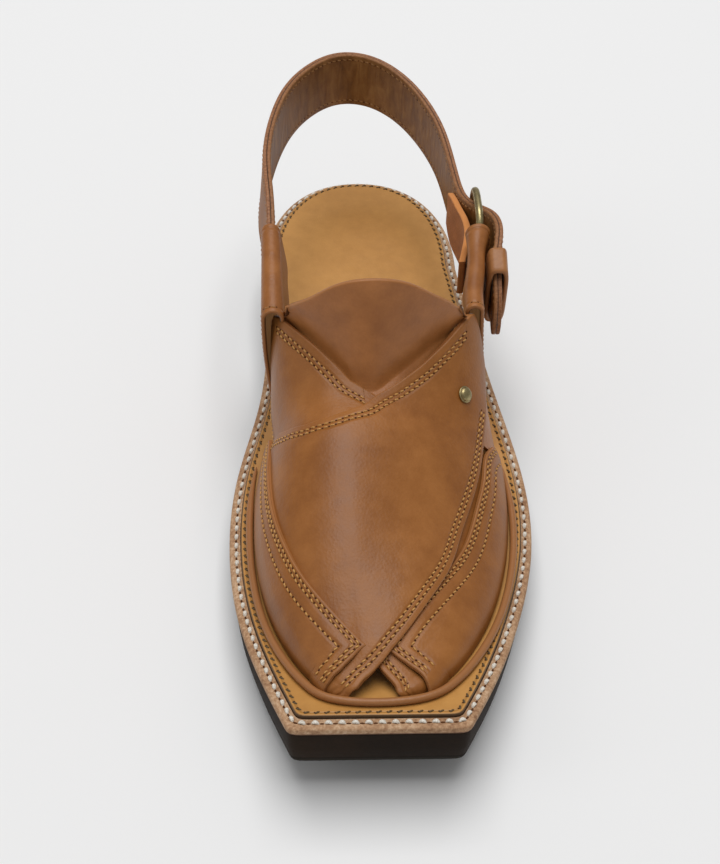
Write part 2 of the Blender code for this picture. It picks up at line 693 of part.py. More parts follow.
def heel_strap(finish, home, helpers):
    """The ribbon from inside the medial ear round the heel, out through the buckle and forward to its tip."""
    data = columns(HEEL_STRAP)
    way = np.concatenate(([0], np.cumsum(np.hypot(np.diff(data[0]), np.diff(data[1])))))
    along = np.linspace(0, way[-1], 64)
    x, y, z, height, lean = (spline(way, column, along) for column in data)
    tangent = np.column_stack((np.gradient(x), np.gradient(y)))
    tangent /= np.linalg.norm(tangent, axis=1)[:, None]
    out = np.column_stack((-tangent[:, 1], tangent[:, 0]))      # away from the foot
    sections = []
    for k in range(len(along)):
        ring = []
        for across, up in ((0.5, 0.42), (0.5, -0.42), (0.3, -0.5), (-0.3, -0.5),
                           (-0.5, -0.42), (-0.5, 0.42), (-0.3, 0.5), (0.3, 0.5)):
            slide = across * STRAP - up * lean[k]
            ring.append((x[k] + out[k, 0] * slide, y[k] + out[k, 1] * slide, z[k] + up * height[k]))
        sections.append(ring)
    strap = ribbon("heel_strap", np.array(sections)[:, ::-1], finish, home)
    hole = strap.modifiers.new("Prong hole", "BOOLEAN")
    hole.operation = "DIFFERENCE"
    hole.solver = "EXACT"
    hole.object = helper(ribbon("prong_hole", prong_sections(PRONG_RADIUS + GAP, 3.0), finish, helpers))


def in_buckle_plane(along, up, out=0.0):
    """A point of the buckle: along the shoe towards the heel, up, and out from its plane."""
    x = BUCKLE_CENTRE[0] - along * math.sin(BUCKLE_TURN) + out * math.cos(BUCKLE_TURN)
    y = BUCKLE_CENTRE[1] + along * math.cos(BUCKLE_TURN) + out * math.sin(BUCKLE_TURN)
    return x, y, BUCKLE_CENTRE[2] + up


def prong_sections(radius, longer):
    """Round sections of the prong, from just behind the frame's front bar through the strap to the rear bar."""
    half_y = BUCKLE_HALF[0]
    clear = BUCKLE_WIRE + PRONG_RADIUS + GAP
    sections = []
    for along, out in ((-half_y + clear - longer, 0.0), (-half_y + 8.0, 0.4), (4.0, clear - 0.6),
                       (half_y - 2.0, clear), (half_y + 2.5 + longer, clear - 0.4)):
        sections.append([in_buckle_plane(along, radius * math.cos(a), out + radius * math.sin(a))
                         for a in np.linspace(0, 2 * math.pi, 8, endpoint=False)])
    return np.array(sections)


def buckle(finish, home):
    half_y, half_z = BUCKLE_HALF
    angle = np.linspace(0, 2 * math.pi, 28, endpoint=False)
    round_off = 2 / 3.2                  # a superellipse, between an oval and a rectangle
    along = half_y * np.sign(np.cos(angle)) * np.abs(np.cos(angle)) ** round_off
    up = half_z * np.sign(np.sin(angle)) * np.abs(np.sin(angle)) ** round_off
    frame = [in_buckle_plane(a, u) for a, u in zip(along, up)]
    wire("buckle_frame", frame, BUCKLE_WIRE, finish, home, cyclic=True, sides=1)
    ribbon("buckle_prong", prong_sections(PRONG_RADIUS, 0.0), finish, home)


def buckle_tab(finish, home):
    y, x, low, high = columns(BUCKLE_TAB)
    fine = np.linspace(y[0], y[-1], 9)
    x, low, high = (spline(y, column, fine) for column in (x, low, high))
    half = TAB / 2
    sections = [[(x[k] - half, fine[k], low[k]), (x[k] - half, fine[k], high[k]),
                 (x[k] + half, fine[k], high[k]), (x[k] + half, fine[k], low[k])] for k in range(len(fine))]
    ribbon("buckle_tab", np.array(sections), finish, home)


def keeper(finish, home):
    """A flat loop round the strap, upright, leaning with the strap."""
    y_front, y_rear = KEEPER_Y
    centre = KEEPER_CENTRE
    half_x, half_z = KEEPER_HALF
    angle = np.linspace(0, 2 * math.pi, 20, endpoint=False)
    sections = []
    for a in angle:
        ring = []
        for wall, end in ((0, 0), (KEEPER, 0), (KEEPER, 1), (0, 1)):
            x = centre[0] + (half_x + wall) * np.sign(math.cos(a)) * abs(math.cos(a)) ** 0.45
            up = (half_z + wall) * np.sign(math.sin(a)) * abs(math.sin(a)) ** 0.45
            y = (y_rear if end else y_front) + KEEPER_LEAN * up
            ring.append((x, y, centre[1] + up + KEEPER_RUN * (y - (y_front + y_rear) / 2)))
        sections.append(ring)
    points = np.array(sections)
    n = len(angle)
    faces = []
    for i in range(n):
        for j in range(4):
            k = (j + 1) % 4
            m = (i + 1) % n
            faces.append((i * 4 + j, i * 4 + k, m * 4 + k, m * 4 + j))
    make_object("keeper", points.reshape(-1, 3), faces, finish, home)


def stud(finish, home):
    """A plain domed stud on the over panel."""
    foot = on_last(*STUD_PLACE, OVER_LIFT + OVER_PANEL + GAP)
    normal = on_last(*STUD_PLACE, OVER_LIFT + OVER_PANEL + GAP + 1.0) - foot
    normal /= np.linalg.norm(normal)
    side = np.cross(normal, (0, 0, 1))
    side /= np.linalg.norm(side)
    up = np.cross(normal, side)
    rings = []
    for radius, height in ((0.75, 0.0), (1.0, 0.35), (0.96, 0.9), (0.7, 1.6), (0.3, 2.0)):
        rings.append([foot + STUD_RADIUS * radius * (side * math.cos(a) + up * math.sin(a)) + normal * height
                      for a in np.linspace(0, 2 * math.pi, 12, endpoint=False)])
    ribbon("stud", np.array(rings), finish, home)


def main():
    clear_scene()
    home = collection("peshawari_chappal")
    helpers = collection("helpers")
    rubber = material("rubber", (0.03, 0.022, 0.018), 0.75)
    raw_leather = material("midsole_leather", (0.45, 0.28, 0.17), 0.7)
    bed_leather = material("footbed_leather", (0.48, 0.24, 0.07), 0.45)
    leather = material("upper_leather", (0.27, 0.12, 0.05), 0.45)
    suede = material("suede", (0.36, 0.14, 0.06), 0.9)
    brass = material("antique_brass", (0.35, 0.28, 0.14), 0.4, 1.0)
    outsole(rubber, home)
    midsole(raw_leather, home)
    footbed(bed_leather, home)
    rand(leather, home)
    upper(leather, home, helpers)
    wings(leather, home)
    tongue(leather, home)
    ear("ear_medial", MEDIAL_EAR, -1, leather, home)
    ear("ear_lateral", LATERAL_EAR, 1, leather, home)
    heel_strap(leather, home, helpers)
    buckle(brass, home)
    buckle_tab(suede, home)
    keeper(leather, home)
    stud(brass, home)


main()
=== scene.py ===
"""Looks of the peshawari chappal, left shoe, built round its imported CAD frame: rubber sole, welt, footbed, the
panels that cross over the foot, wings, tongue, folded ears, heel strap and buckle, with their stitches.

Frame: +Z up, toe towards -Y, outer (lateral) side towards +X. Sizes are in millimetres and shared with the CAD;
to_metres puts them in the frame."""

import math

import bmesh
import bpy
import numpy as np
from mathutils import Matrix, Vector


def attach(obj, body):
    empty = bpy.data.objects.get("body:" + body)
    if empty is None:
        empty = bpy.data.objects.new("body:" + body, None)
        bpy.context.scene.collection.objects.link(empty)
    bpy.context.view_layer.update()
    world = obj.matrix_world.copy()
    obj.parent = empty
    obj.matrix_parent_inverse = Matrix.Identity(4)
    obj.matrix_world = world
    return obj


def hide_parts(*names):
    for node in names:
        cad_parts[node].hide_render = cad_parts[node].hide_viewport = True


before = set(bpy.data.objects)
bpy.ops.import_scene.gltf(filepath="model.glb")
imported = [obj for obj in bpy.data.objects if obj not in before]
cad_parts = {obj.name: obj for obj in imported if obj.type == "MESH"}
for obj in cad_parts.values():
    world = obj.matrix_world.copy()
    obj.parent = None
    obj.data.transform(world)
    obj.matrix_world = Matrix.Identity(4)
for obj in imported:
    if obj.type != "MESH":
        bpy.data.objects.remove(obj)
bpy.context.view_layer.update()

MM = 0.001

# ---- driving sizes
LENGTH = 306
TOE_Y = -LENGTH / 2
MIDSOLE_Z = (0.3, 3.9)  # bottom and top of the midsole, above the top of the rubber
FOOTBED_Z = (4.2, 6.8)  # the same for the footbed
FOOTBED_INSET = 4.4  # from the edge of the sole to the edge of the footbed
RAND_RADIUS = 1.4  # half the thickness of the cord that hides the foot of the upper
RAND_TAPER = 26  # length over which its ends thin out
RAND_END = -24  # y of its ends
UNDER_PANEL = 1.8  # thickness of the upper's two panels
OVER_PANEL = 2.4
GAP = 0.3  # clearance between pieces that touch

# Plan of the sole: fraction of the length from the toe, half width on the medial and on the lateral side
SOLE_PLAN = [
    (0, 29.8, 29.8), (0.07, 37.8, 40), (0.18, 48, 52.6), (0.3, 52.8, 61.1), (0.42, 50.8, 61),
    (0.54, 43.2, 54.8), (0.66, 40.6, 48.5), (0.8, 42.4, 42.3),
]
HEEL_START = 0.8  # from here a superellipse closes the plan round the heel
HEEL_POWER = 2.2

# Side of the sole: fraction of the length, height of the rubber's top, height of its underside
SOLE_SIDE = [
    (0, 33.7, 16.5), (0.08, 26.8, 10), (0.17, 20.8, 4.6), (0.25, 17.4, 1.2), (0.3, 16.4, 0), (0.33, 16.2, 0),
    (0.4, 16.6, 0), (0.52, 19, 3.4), (0.6, 21, 2.6), (0.68, 22.8, 0), (0.85, 25.6, 0), (0.96, 26.4, 0),
    (1, 26.6, 2),
]

# Feather line, where the upper meets the footbed: y, medial half width, lateral half width
FEATHER = [
    (-145.2, 0, 0), (-142.9, 16.2, 16.4), (-136.8, 24.4, 26), (-123, 32.8, 36.2), (-106, 39.4, 44.6),
    (-83, 44.2, 51.6), (-57, 46.2, 55.2), (-30, 45, 54), (-8, 41.5, 50), (20, 39, 46), (50, 37, 43),
]
LAST_INSET = 8  # from the feather line in to the foot of the last, at the sides
TIP_INSET = 5.9  # the same at the toe

# Sections of the last: y, how far the medial and the lateral side bulge half way down, height and x of the
# crest, squareness of the medial and of the lateral half (2 is an ellipse)
LAST = [
    (-141, 0, 0, 38.4, -4, 2.3, 2), (-128, 0, 0, 40.6, -5, 2.3, 1.8), (-115, 0, 0, 45.3, -5.8, 2.3, 1.6),
    (-100, 0, 0, 50.8, -6.6, 2.3, 1.4), (-85, 0, 0, 55.8, -7.2, 2.25, 1.35),
    (-70, -0.3, 0, 60.3, -7.8, 2.25, 1.4), (-55, -1.6, 0.4, 65, -8.2, 2.3, 1.5),
    (-42, -3, 1.8, 67.8, -8.2, 2.5, 1.6), (-30, -3.2, 3, 69, -7.5, 2.6, 1.75),
    (-18, -2.8, 3.4, 75, -6.8, 2.9, 2), (-6, -1, 3.4, 86, -6.5, 3.3, 2.3), (10, 1.5, 3.4, 113, -6, 3.8, 2.8),
]
FOOT_GAP = 0.75  # from the footbed up to the foot of the last
FOOT_TUCK = 1.4  # the layers are drawn in by this much where they meet the footbed
TUCK_FROM = 0.7  # and this starts at this share of the way from crest to foot

# Each panel is laid out on the last as rows from the toe to the ear. A place on the last is (s, y): s runs
# from -1 at the medial foot over 0 at the crest to 1 at the lateral foot. Row: place along the panel, y at
# the foot of the last, then s and y at the free edge.
OVER_PANEL_SIDE = -1  # the panel that lies on top stands on the medial side of the footbed
OVER_PANEL_ROWS = [
    (0, -136.2, -1, -137.9), (0.04, -135.2, -0.87, -138.2), (0.08, -134, -0.58, -138.25),
    (0.12, -132, -0.2, -137.7), (0.145, -130.3, 0.06, -135.2), (0.17, -128.5, 0.2, -131.7),
    (0.22, -124.5, 0.275, -128.9), (0.28, -119, 0.35, -123.8), (0.35, -112.5, 0.43, -117.3),
    (0.43, -104.5, 0.52, -106.8), (0.51, -95, 0.6, -94.5), (0.6, -84, 0.65, -78.5), (0.7, -70.5, 0.69, -62),
    (0.8, -57, 0.707, -46), (0.9, -43, 0.7, -27), (1, -30, 0.69, -5),
]
# Rear edge of a panel from its foot to its free edge: share of the width, s, y
OVER_PANEL_REAR = [
    (0, -1, -24), (0.16, -0.7, -28), (0.23, -0.58, -31), (0.32, -0.44, -36.8), (0.42, -0.275, -41.3),
    (0.5, -0.14, -41.3), (0.57, -0.025, -39.1), (0.63, 0.067, -36.1), (0.66, 0.105, -30.8), (0.72, 0.194, -24),
    (0.78, 0.287, -16.4), (0.85, 0.375, -7.2), (0.9, 0.432, -0.3), (0.94, 0.495, 6.2), (0.97, 0.58, 4.4),
    (1, 0.69, 0),
]
UNDER_PANEL_SIDE = 1  # the panel beneath stands on the lateral side
UNDER_PANEL_ROWS = [
    (0, -136.2, 1, -138.6), (0.04, -135.4, 0.81, -138.5), (0.08, -134, 0.53, -136.8),
    (0.12, -132, 0.317, -133.6), (0.17, -128.5, 0.208, -130.6), (0.24, -122.5, 0.05, -124.5),
    (0.32, -115.5, -0.12, -116), (0.42, -105, -0.34, -103), (0.52, -93, -0.5, -87), (0.62, -80, -0.6, -70),
    (0.72, -67, -0.67, -53), (0.82, -54, -0.72, -37), (0.91, -43, -0.78, -20), (1, -33, -0.85, 1.6),
]
UNDER_PANEL_REAR = [
    (0, 1, -33), (0.12, 0.78, -33.5), (0.25, 0.55, -36), (0.36, 0.32, -37.5), (0.45, 0.17, -35),
    (0.5, 0.108, -30), (0.58, -0.017, -23.8), (0.66, -0.145, -16.2), (0.72, -0.222, -10.4), (0.79, -0.305, -4),
    (0.84, -0.375, 1.4), (0.885, -0.475, 7), (0.94, -0.67, 4), (1, -0.85, 1.6),
]
# Heights of the layers above the last: inner face of each
UNDER_LIFT = 0.6
OVER_LIFT = 1.5  # less than the under panel's outer face, so that the two are one solid
MEDIAL_WING_LIFT = 4.6
LATERAL_WING_LIFT = 3.3
WING = 1.5  # thickness of the wings

# Wings, the overlays that carry the panels down to the sole: place along the wing, y at its foot, s and y at
# its upper edge, from the toe to the rear
MEDIAL_WING_ROWS = [
    (0, -135.6, 0.058, -124.3), (0.1, -124.5, -0.18, -116.5), (0.22, -112, -0.36, -105),
    (0.36, -96, -0.455, -91.5), (0.52, -77, -0.52, -74.5), (0.68, -58, -0.585, -56),
    (0.84, -38.5, -0.645, -38.5), (1, -20, -0.705, -27.5),
]
# Front edge of a wing from its foot to its upper edge: share of the height, s, y
MEDIAL_WING_FRONT = [
    (0, -1, -135.6), (0.09, -0.92, -135.6), (0.18, -0.82, -135.4), (0.46, -0.51, -133.2),
    (0.78, -0.175, -128.8), (1, 0.058, -124.3),
]
LATERAL_WING_ROWS = [
    (0, -136, 0.27, -124.8), (0.1, -126, 0.33, -117.5), (0.22, -113, 0.45, -107), (0.36, -97, 0.575, -95),
    (0.52, -79, 0.69, -79), (0.68, -61, 0.728, -60), (0.84, -45, 0.735, -45), (0.95, -34, 0.745, -34),
    (1, -29, 0.8, -28.2),
]
LATERAL_WING_FRONT = [
    (0, 1, -136), (0.06, 0.96, -135.8), (0.18, 0.87, -134.7), (0.54, 0.606, -131.2), (0.88, 0.356, -126.8),
    (1, 0.27, -124.8),
]

# Tongue: share of the way from the medial ear to the lateral one, place (s, y) where it leaves the panels,
# then x, y and z of its top edge
TONGUE_ROWS = [
    (0, -0.37, -1, -30.5, 0.5, 83), (0.12, -0.29, -5.5, -29.5, -4.5, 90), (0.26, -0.18, -14, -22.5, -9.5, 98),
    (0.4, -0.03, -23, -12, -12.2, 107), (0.5, 0.08, -28, -1, -12.8, 110), (0.6, 0.16, -24, 11.5, -11.6, 107.8),
    (0.74, 0.27, -15.5, 22.8, -8.5, 99.4), (0.88, 0.38, -6.5, 31.2, -4.2, 90.6), (1, 0.44, -1, 35.5, 0, 82.5),
]
TONGUE = 2  # thickness
TONGUE_LIFT = -0.6  # its outer face, where it lies under the panels
TONGUE_HIDDEN = 9  # length that lies under the panels
TONGUE_SIDES = (3, 0, 0)  # how far its side edges bulge out half way up

# Ears, sleeves folded over a roll. Row: y at the foot and at the roll, x and z of the foot of the outer
# wall, x half way up, x and z of the middle of the roll, its radius, x and z of the free inner edge
EAR = 1.7  # thickness
MEDIAL_EAR = [
    (6, -2, -37, 26.5, -39.6, -35.8, 81.8, 3.5, -32.2, 77.5),
    (16, 8.5, -36.4, 27.1, -39.8, -36, 84, 3.4, -31.2, 75.5),
    (26, 19.5, -35.6, 27.9, -39.9, -36.3, 86.2, 3.2, -30.6, 76),
    (37, 30.5, -34.8, 28.8, -39.8, -36.6, 88.2, 3, -31.6, 80),
    (47, 41, -34, 29.6, -39.9, -37, 90.4, 2.8, -33.4, 87),
]
LATERAL_EAR = [
    (7.5, 4, 49.3, 26.9, 46, 40.6, 79.4, 2.8, 37.6, 73), (20, 17, 48, 27.9, 46.2, 41.2, 80.6, 2.7, 37.4, 71.5),
    (31, 26.5, 46.6, 28.7, 46.4, 42.6, 81.8, 2.7, 38.6, 71.5),
    (41, 36.5, 44.8, 29.6, 46.6, 43.5, 83, 2.7, 41, 75),
    (49.5, 46.5, 43.2, 30.3, 48.7, 44.8, 84.2, 4.3, 41.4, 79),
]

# Heel strap, a ribbon on edge. Row: x, y and z of its middle, height, and how far its lower edge stands out
# beyond its upper edge
STRAP = 3.2  # thickness
HEEL_STRAP = [
    (-36.5, 24, 79.5, 15, 0), (-36.7, 34, 80, 18.5, 0), (-36.9, 43, 80, 20.5, 0), (-38.6, 56, 82, 25, 2.5),
    (-40, 70, 84.2, 25, 3), (-39.6, 86, 86.5, 25, 1.5), (-36.6, 104, 89, 25, 0.5), (-31, 122, 90.5, 25, 0),
    (-21, 138.5, 90.8, 25, 0), (-8, 148.5, 90, 25, 0), (5, 149.8, 87.5, 25, 0), (17.5, 143.5, 83.5, 25, 0),
    (27.5, 131, 79, 25, 0), (34, 116, 75, 24.5, 0), (37.4, 100, 71.5, 24, 0), (39, 88, 70, 23.5, 0),
    (40.3, 79, 70.2, 22.5, 0), (42.6, 71, 71.5, 22, 0), (46.8, 64.5, 73, 22, 0), (50.6, 58.5, 75, 22, 0),
    (52.9, 51, 76, 22, 0), (52.8, 43, 75.4, 22, 0), (51.6, 35, 72.6, 22, 0), (51.3, 26, 68.6, 21, 0),
    (51.2, 15, 63, 17, 0),
]

# Buckle: a frame bent from round brass wire in an upright plane, and its prong
BUCKLE_WIRE = 1.5  # radius
BUCKLE_CENTRE = (45.6, 61.2, 73.4)
BUCKLE_HALF = (13.5, 15.4)  # half length along the shoe, half height
BUCKLE_TURN = math.radians(1)  # the frame's rear end turns towards the heel strap
PRONG_RADIUS = 1.1

# Suede tab behind the buckle. Row: y, x of its middle, height of its lower and upper edge
TAB = 2.7  # thickness
BUCKLE_TAB = [
    (40, 38.6, 58.5, 75), (48, 40.6, 57, 77), (57, 41.8, 56, 78.5), (64, 40.9, 55.5, 79), (70.5, 39.2, 56, 79),
    (76, 37.9, 57.5, 79), (82, 36.8, 62, 77.5),
]

# Keeper, a loop of leather round the strap's end and sewn to the outer ear
KEEPER = 1.8  # thickness
KEEPER_Y = (25.5, 36)
KEEPER_CENTRE = (51.45, 70.6)  # x and z
KEEPER_HALF = (2.4, 13.4)  # half width and half height inside
KEEPER_LEAN = -0.1  # y gained for each millimetre of height
KEEPER_RUN = 0.4  # height gained for each millimetre towards the heel, like the strap inside it
STUD_PLACE = (0.515, -20)  # s, y: a plain round brass stud near the outer ear
STUD_RADIUS = 3.2


# ---- sizes of what only the looks show
CUT_ROUND = 0.6  # radius of the rounded arris along a cut edge of leather
NEAR = np.array([0, 0.06, 0.18, 0.36, 0.62, 1, 1.7])  # distances of the first grid lines from a cut edge
FAR = 30  # distances from an edge are kept up to this
SKIVE = 1  # the over panel's rear edge is pared by this much where it lies on the under panel
WING_SEAT = {-1: 5.4, 1: 3.9}  # height of the outer face of the wings at their upper edge
FOOT_REACH = 6.9  # height of the same at their foot, where it meets the rand
OVER_ARCH = 1.9  # the over panel climbs this much to cross the lateral wing
OVER_THIN = 1.7  # and is this thick there
EAR_REACH = 2  # the under panel stands out by this inside the medial ear
TOE_REACH = 1.8  # the panels' feet stand out by this at the toe, to the rand
REAR_TUCK = (1.1, 0.8)  # the medial wing lies closer by this at its rear end: at its upper edge, at its foot
# Ranges over which a height climbs, from nothing to all of it
TOE_S, TOE_BACK = (0.7, 1), (-128, -134)  # s and y, where the panels' feet stand out at the toe
EAR_S, EAR_Y = (-0.25, -0.47), (-30, -8)  # s and y, where the under panel stands out inside the medial ear
ARCH_REAR, ARCH_TOE = (-70, -94), (-137, -122)  # y, where the over panel climbs to cross the lateral wing
ARCH_FREE, ARCH_FOOT = (-0.6, -0.14), (-0.82, -0.48)  # the same in s, from its free edge and from its foot
PARED, PARED_S = (7, 0), (0.09, -0.01)  # its paring: millimetres ahead of its rear edge, and s
SEATED, SPREAD = (0, 0.35), (0.62, 1)  # a wing in s, down from its upper edge and out at its foot
REAR = (-48, -24)  # y, where the medial wing comes closer
SHOULDER = (0.3, 0.5)  # the tongue's sides, as shares of its width from its middle
REAR_EASE, FRONT_EASE = 0.02, 0.12  # share of a panel's rear or front edge over which its corners are eased
STRAY = (0.1, 0.1)  # a stitch row may be off its distance by this share of it and this many millimetres
QUARTER = 1.4  # thickness of the low side piece behind the lateral wing
SIDE_POINTS = 401  # of a loop round the sole, from toe corner round the heel to toe corner
TOE_POINTS = 27  # and along its toe edge
TUBE_END = np.array([0.35, 0.75, 0.95])  # shares of the radius at the end of a cord or wire
EAR_POINTS = 22  # up the wall of an ear, and again over its roll
EAR_WAVES = 2.3  # waves along the free edge of the medial ear
EAR_ROW = 2.2  # from the ears' front and rear edges to their stitches
STRAP_ROUND = 0.65  # radius of the heel strap's edges
STRAP_ROW = 2.3  # from its edges to its stitches
KEEPER_INSET = 0.06  # share of the keeper's width that its rounded edges take up
# The stud from its foot to its top: share of its radius, height
STUD_PROFILE = [
    (0.78, -0.25), (0.84, 0), (0.98, 0.12), (1, 0.35), (0.97, 0.52), (0.88, 0.6), (0.84, 0.66), (0.83, 0.9),
    (0.76, 1.25), (0.62, 1.6), (0.42, 1.86), (0.2, 1.98), (0.05, 2),
]
WELT_ROW = 2.75  # from the edge of the sole to the welt's stitches
FOOTBED_ROW = 1.5  # from the edge of the footbed to its stitches
# A thread from end to end: share of its half length, share of its thickness
THREAD = [(-1, 0.18), (-0.86, 0.66), (-0.5, 0.95), (0, 1), (0.5, 0.95), (0.86, 0.66), (1, 0.18)]
# Stitches: name and distance from one needle hole to the next. Thread: half its length, its width, how high it
# arches, how deep its ends sink, its slant in radians, how far it lies aside of its row, sides of its section.
# Hole, a dark lens of painted shade: its radius, how high its rim lies, share of the pitch from the thread's
# middle to it. Then the slot.
STITCHES = [
    ("upper", 2.55, (0.84, 0.72, 0.2, 0.07, -0.24, 0.1, 6), (0.44, 0.04, 0.5), "upper_leather"),
    ("strap", 2.55, (0.85, 0.58, 0.1, 0.1, -0.18, 0.08, 6), (0.34, 0.03, 0.5), "upper_leather"),
    ("welt", 4.4, (1.35, 1.5, 0.75, 0.1, -0.16, 0, 8), (0.85, 0.12, 0.5), "midsole_leather"),
    ("footbed", 3.4, (1.1, 0.78, 0.2, 0.12, 0.62, 0, 6), (0.42, 0.05, 0.22), "footbed_leather"),
]
WORLD_LIGHT, OVERHEAD_POWER, SIDE_POWER = 0.3, 72.5, 7
CAMERA_PLACE = (-19.1, -427.5, 457.1)
PHOTO_AIM = (-57, 65.8, 30)  # where the photographed view looks, between its two shoes
CAMERA_AIM = (-3, -20, 40)
CAMERA_ROLL = math.radians(-3.41)
CAMERA_FOCAL = 1.75  # as a share of the picture's height


# ---- curves and the last
def spline(xs, ys, x):
    """Natural cubic spline through (xs, ys), read at x."""
    xs, ys, x = (np.asarray(v, float) for v in (xs, ys, x))
    h = np.diff(xs)
    slope = np.diff(ys) / h
    n = len(xs)
    a = np.eye(n)
    b = np.zeros(n)
    for i in range(1, n - 1):
        a[i, i - 1:i + 2] = h[i - 1], 2 * (h[i - 1] + h[i]), h[i]
        b[i] = 6 * (slope[i] - slope[i - 1])
    m = np.linalg.solve(a, b)
    i = np.clip(np.searchsorted(xs, x) - 1, 0, n - 2)
    t = x - xs[i]
    return (ys[i] + t * (slope[i] - h[i] * (2 * m[i] + m[i + 1]) / 6)
            + t ** 2 * m[i] / 2 + t ** 3 * (m[i + 1] - m[i]) / (6 * h[i]))


def columns(table):
    return [np.array(column, float) for column in zip(*table)]


def between(table, along):
    """The other columns of a table whose first column is a place, read at the places in along."""
    at, *data = columns(table)
    return [spline(at, column, along) for column in data]


def climb(value, start, end):
    """Goes smoothly from 0 to 1 as value goes from start to end."""
    x = np.clip((value - start) / (end - start), 0, 1)
    return x * x * (3 - 2 * x)


def turns(count):
    return np.linspace(0, 2 * math.pi, count, endpoint=False)


def squared(angle, power):
    """Cosine and sine of a superellipse's angles, squarer than a circle's."""
    return [np.sign(wave) * np.abs(wave) ** power for wave in (np.cos(angle), np.sin(angle))]


def rubber_top(y):
    t, top, _ = columns(SOLE_SIDE)
    return spline(t, top, np.clip((np.asarray(y, float) - TOE_Y) / LENGTH, 0, 1))


def rubber_bottom(y):
    t, _, bottom = columns(SOLE_SIDE)
    return np.interp((np.asarray(y, float) - TOE_Y) / LENGTH, t, bottom)


def footbed_top(y):
    return rubber_top(y) + FOOTBED_Z[1]


def feather(y, inset=0, tip_inset=0):
    """Half widths (medial, lateral) at y of the feather line moved in by inset, and by tip_inset at the toe."""
    ys, medial, lateral = columns(FEATHER)
    root = np.sqrt(ys - ys[0])
    here = np.sqrt(np.maximum(np.asarray(y, float) - ys[0] - tip_inset, 0))
    move = inset * np.clip(here / 3.2, 0, 1)
    return np.maximum(spline(root, medial, here) - move, 0), np.maximum(spline(root, lateral, here) - move, 0)


def make_last(rows=420, half=150, fine=400):
    """The last's surface as a grid: y of the rows, s of the columns, points and outward normals."""
    front = FEATHER[0][0] + TIP_INSET
    ys = front + (LAST[-1][0] - front) * np.linspace(0, 1, rows) ** 2
    angle = np.linspace(0, math.pi / 2, fine)
    s = np.linspace(-1, 1, 2 * half + 1)
    points = np.zeros((rows, 2 * half + 1, 3))
    shape = np.array(between(LAST, ys)).T
    for row, y, (bulge_m, bulge_l, crest_z, crest_x, square_m, square_l) in zip(points, ys, shape):
        foot_m, foot_l = feather(y, LAST_INSET, TIP_INSET)
        foot_z = footbed_top(y) + FOOT_GAP
        crest_z = max(crest_z, foot_z + 1)
        crest_x *= min(1, foot_m / 8)
        for side, foot, square, bulge in ((-1, foot_m, square_m, bulge_m), (1, foot_l, square_l, bulge_l)):
            reach = max(foot - side * crest_x, 0.2)
            x = crest_x + side * reach * np.sin(angle) ** (2 / square)
            z = foot_z + (crest_z - foot_z) * np.cos(angle) ** (2 / square)
            way = np.concatenate(([0], np.cumsum(np.hypot(np.diff(x), np.diff(z)))))
            way /= way[-1]
            x = x + side * bulge * 4 * way * (1 - way)
            there = s * side >= 0
            row[there, 0] = np.interp(s[there] * side, way, x)
            row[there, 2] = np.interp(s[there] * side, way, z)
        row[:, 1] = y
    normals = np.cross(np.gradient(points, axis=1), np.gradient(points, axis=0))
    normals /= np.linalg.norm(normals, axis=2)[:, :, None] + 1e-12
    normals *= np.sign(normals[:, half, 2].mean())
    return ys, s, points, normals


LAST_Y, LAST_S, LAST_POINTS, LAST_NORMALS = make_last()


def on_last(s, y, lift):
    """Points above the last at the places (s, y)."""
    s, y, lift = np.broadcast_arrays(*(np.asarray(v, float) for v in (s, y, lift)))
    i = np.clip(np.interp(y, LAST_Y, np.arange(len(LAST_Y))), 0, len(LAST_Y) - 1.001)
    j = np.clip((s + 1) / 2 * (len(LAST_S) - 1), 0, len(LAST_S) - 1.001)
    i0, j0 = i.astype(int), j.astype(int)
    fi, fj = (i - i0)[..., None], (j - j0)[..., None]

    def read(grid):
        return (grid[i0, j0] * (1 - fi) * (1 - fj) + grid[i0 + 1, j0] * fi * (1 - fj)
                + grid[i0, j0 + 1] * (1 - fi) * fj + grid[i0 + 1, j0 + 1] * fi * fj)

    normal = read(LAST_NORMALS)
    normal /= np.linalg.norm(normal, axis=-1)[..., None]
    tuck = FOOT_TUCK * np.clip((np.abs(s) - TUCK_FROM) / (1 - TUCK_FROM), 0, 1)
    points = read(LAST_POINTS) + normal * (lift - tuck)[..., None]
    points[..., 2] = np.maximum(points[..., 2], footbed_top(points[..., 1]) + FOOT_GAP)
    return points


def sole_edge(inset=0, side_steps=120, heel_steps=70):
    """Plan of the sole from the medial toe corner round the heel to the lateral one, moved in by inset."""
    t, medial, lateral = columns(SOLE_PLAN)
    along = np.linspace(0, HEEL_START, side_steps, endpoint=False)
    angle = np.linspace(0, math.pi / 2, heel_steps)
    along = np.concatenate((along, HEEL_START + (1 - HEEL_START) * np.sin(angle) ** (2 / HEEL_POWER)))
    close = np.concatenate((np.ones(side_steps), np.cos(angle) ** (2 / HEEL_POWER)))
    y = TOE_Y + along * LENGTH
    held = np.minimum(along, HEEL_START)
    left = np.column_stack((-spline(t, medial, held) * close, y))
    right = np.column_stack((spline(t, lateral, held) * close, y))
    loop = np.concatenate((left, right[::-1][1:]))
    if inset == 0:
        return loop
    tangent = np.gradient(loop, axis=0)
    inward = np.column_stack((tangent[:, 1], -tangent[:, 0]))
    loop = loop + inward / np.linalg.norm(inward, axis=1)[:, None] * inset
    for run in (loop, loop[::-1]):      # both ends are cut square by the toe's own inset edge
        first = max(int(np.argmax(run[:, 1] > TOE_Y + inset)), 1)
        share = (TOE_Y + inset - run[first - 1, 1]) / (run[first, 1] - run[first - 1, 1])
        run[:first] = run[first - 1] + (run[first] - run[first - 1]) * share
    return loop


CENTRE_X = sole_edge()[:, 0].min() / 2 + sole_edge()[:, 0].max() / 2


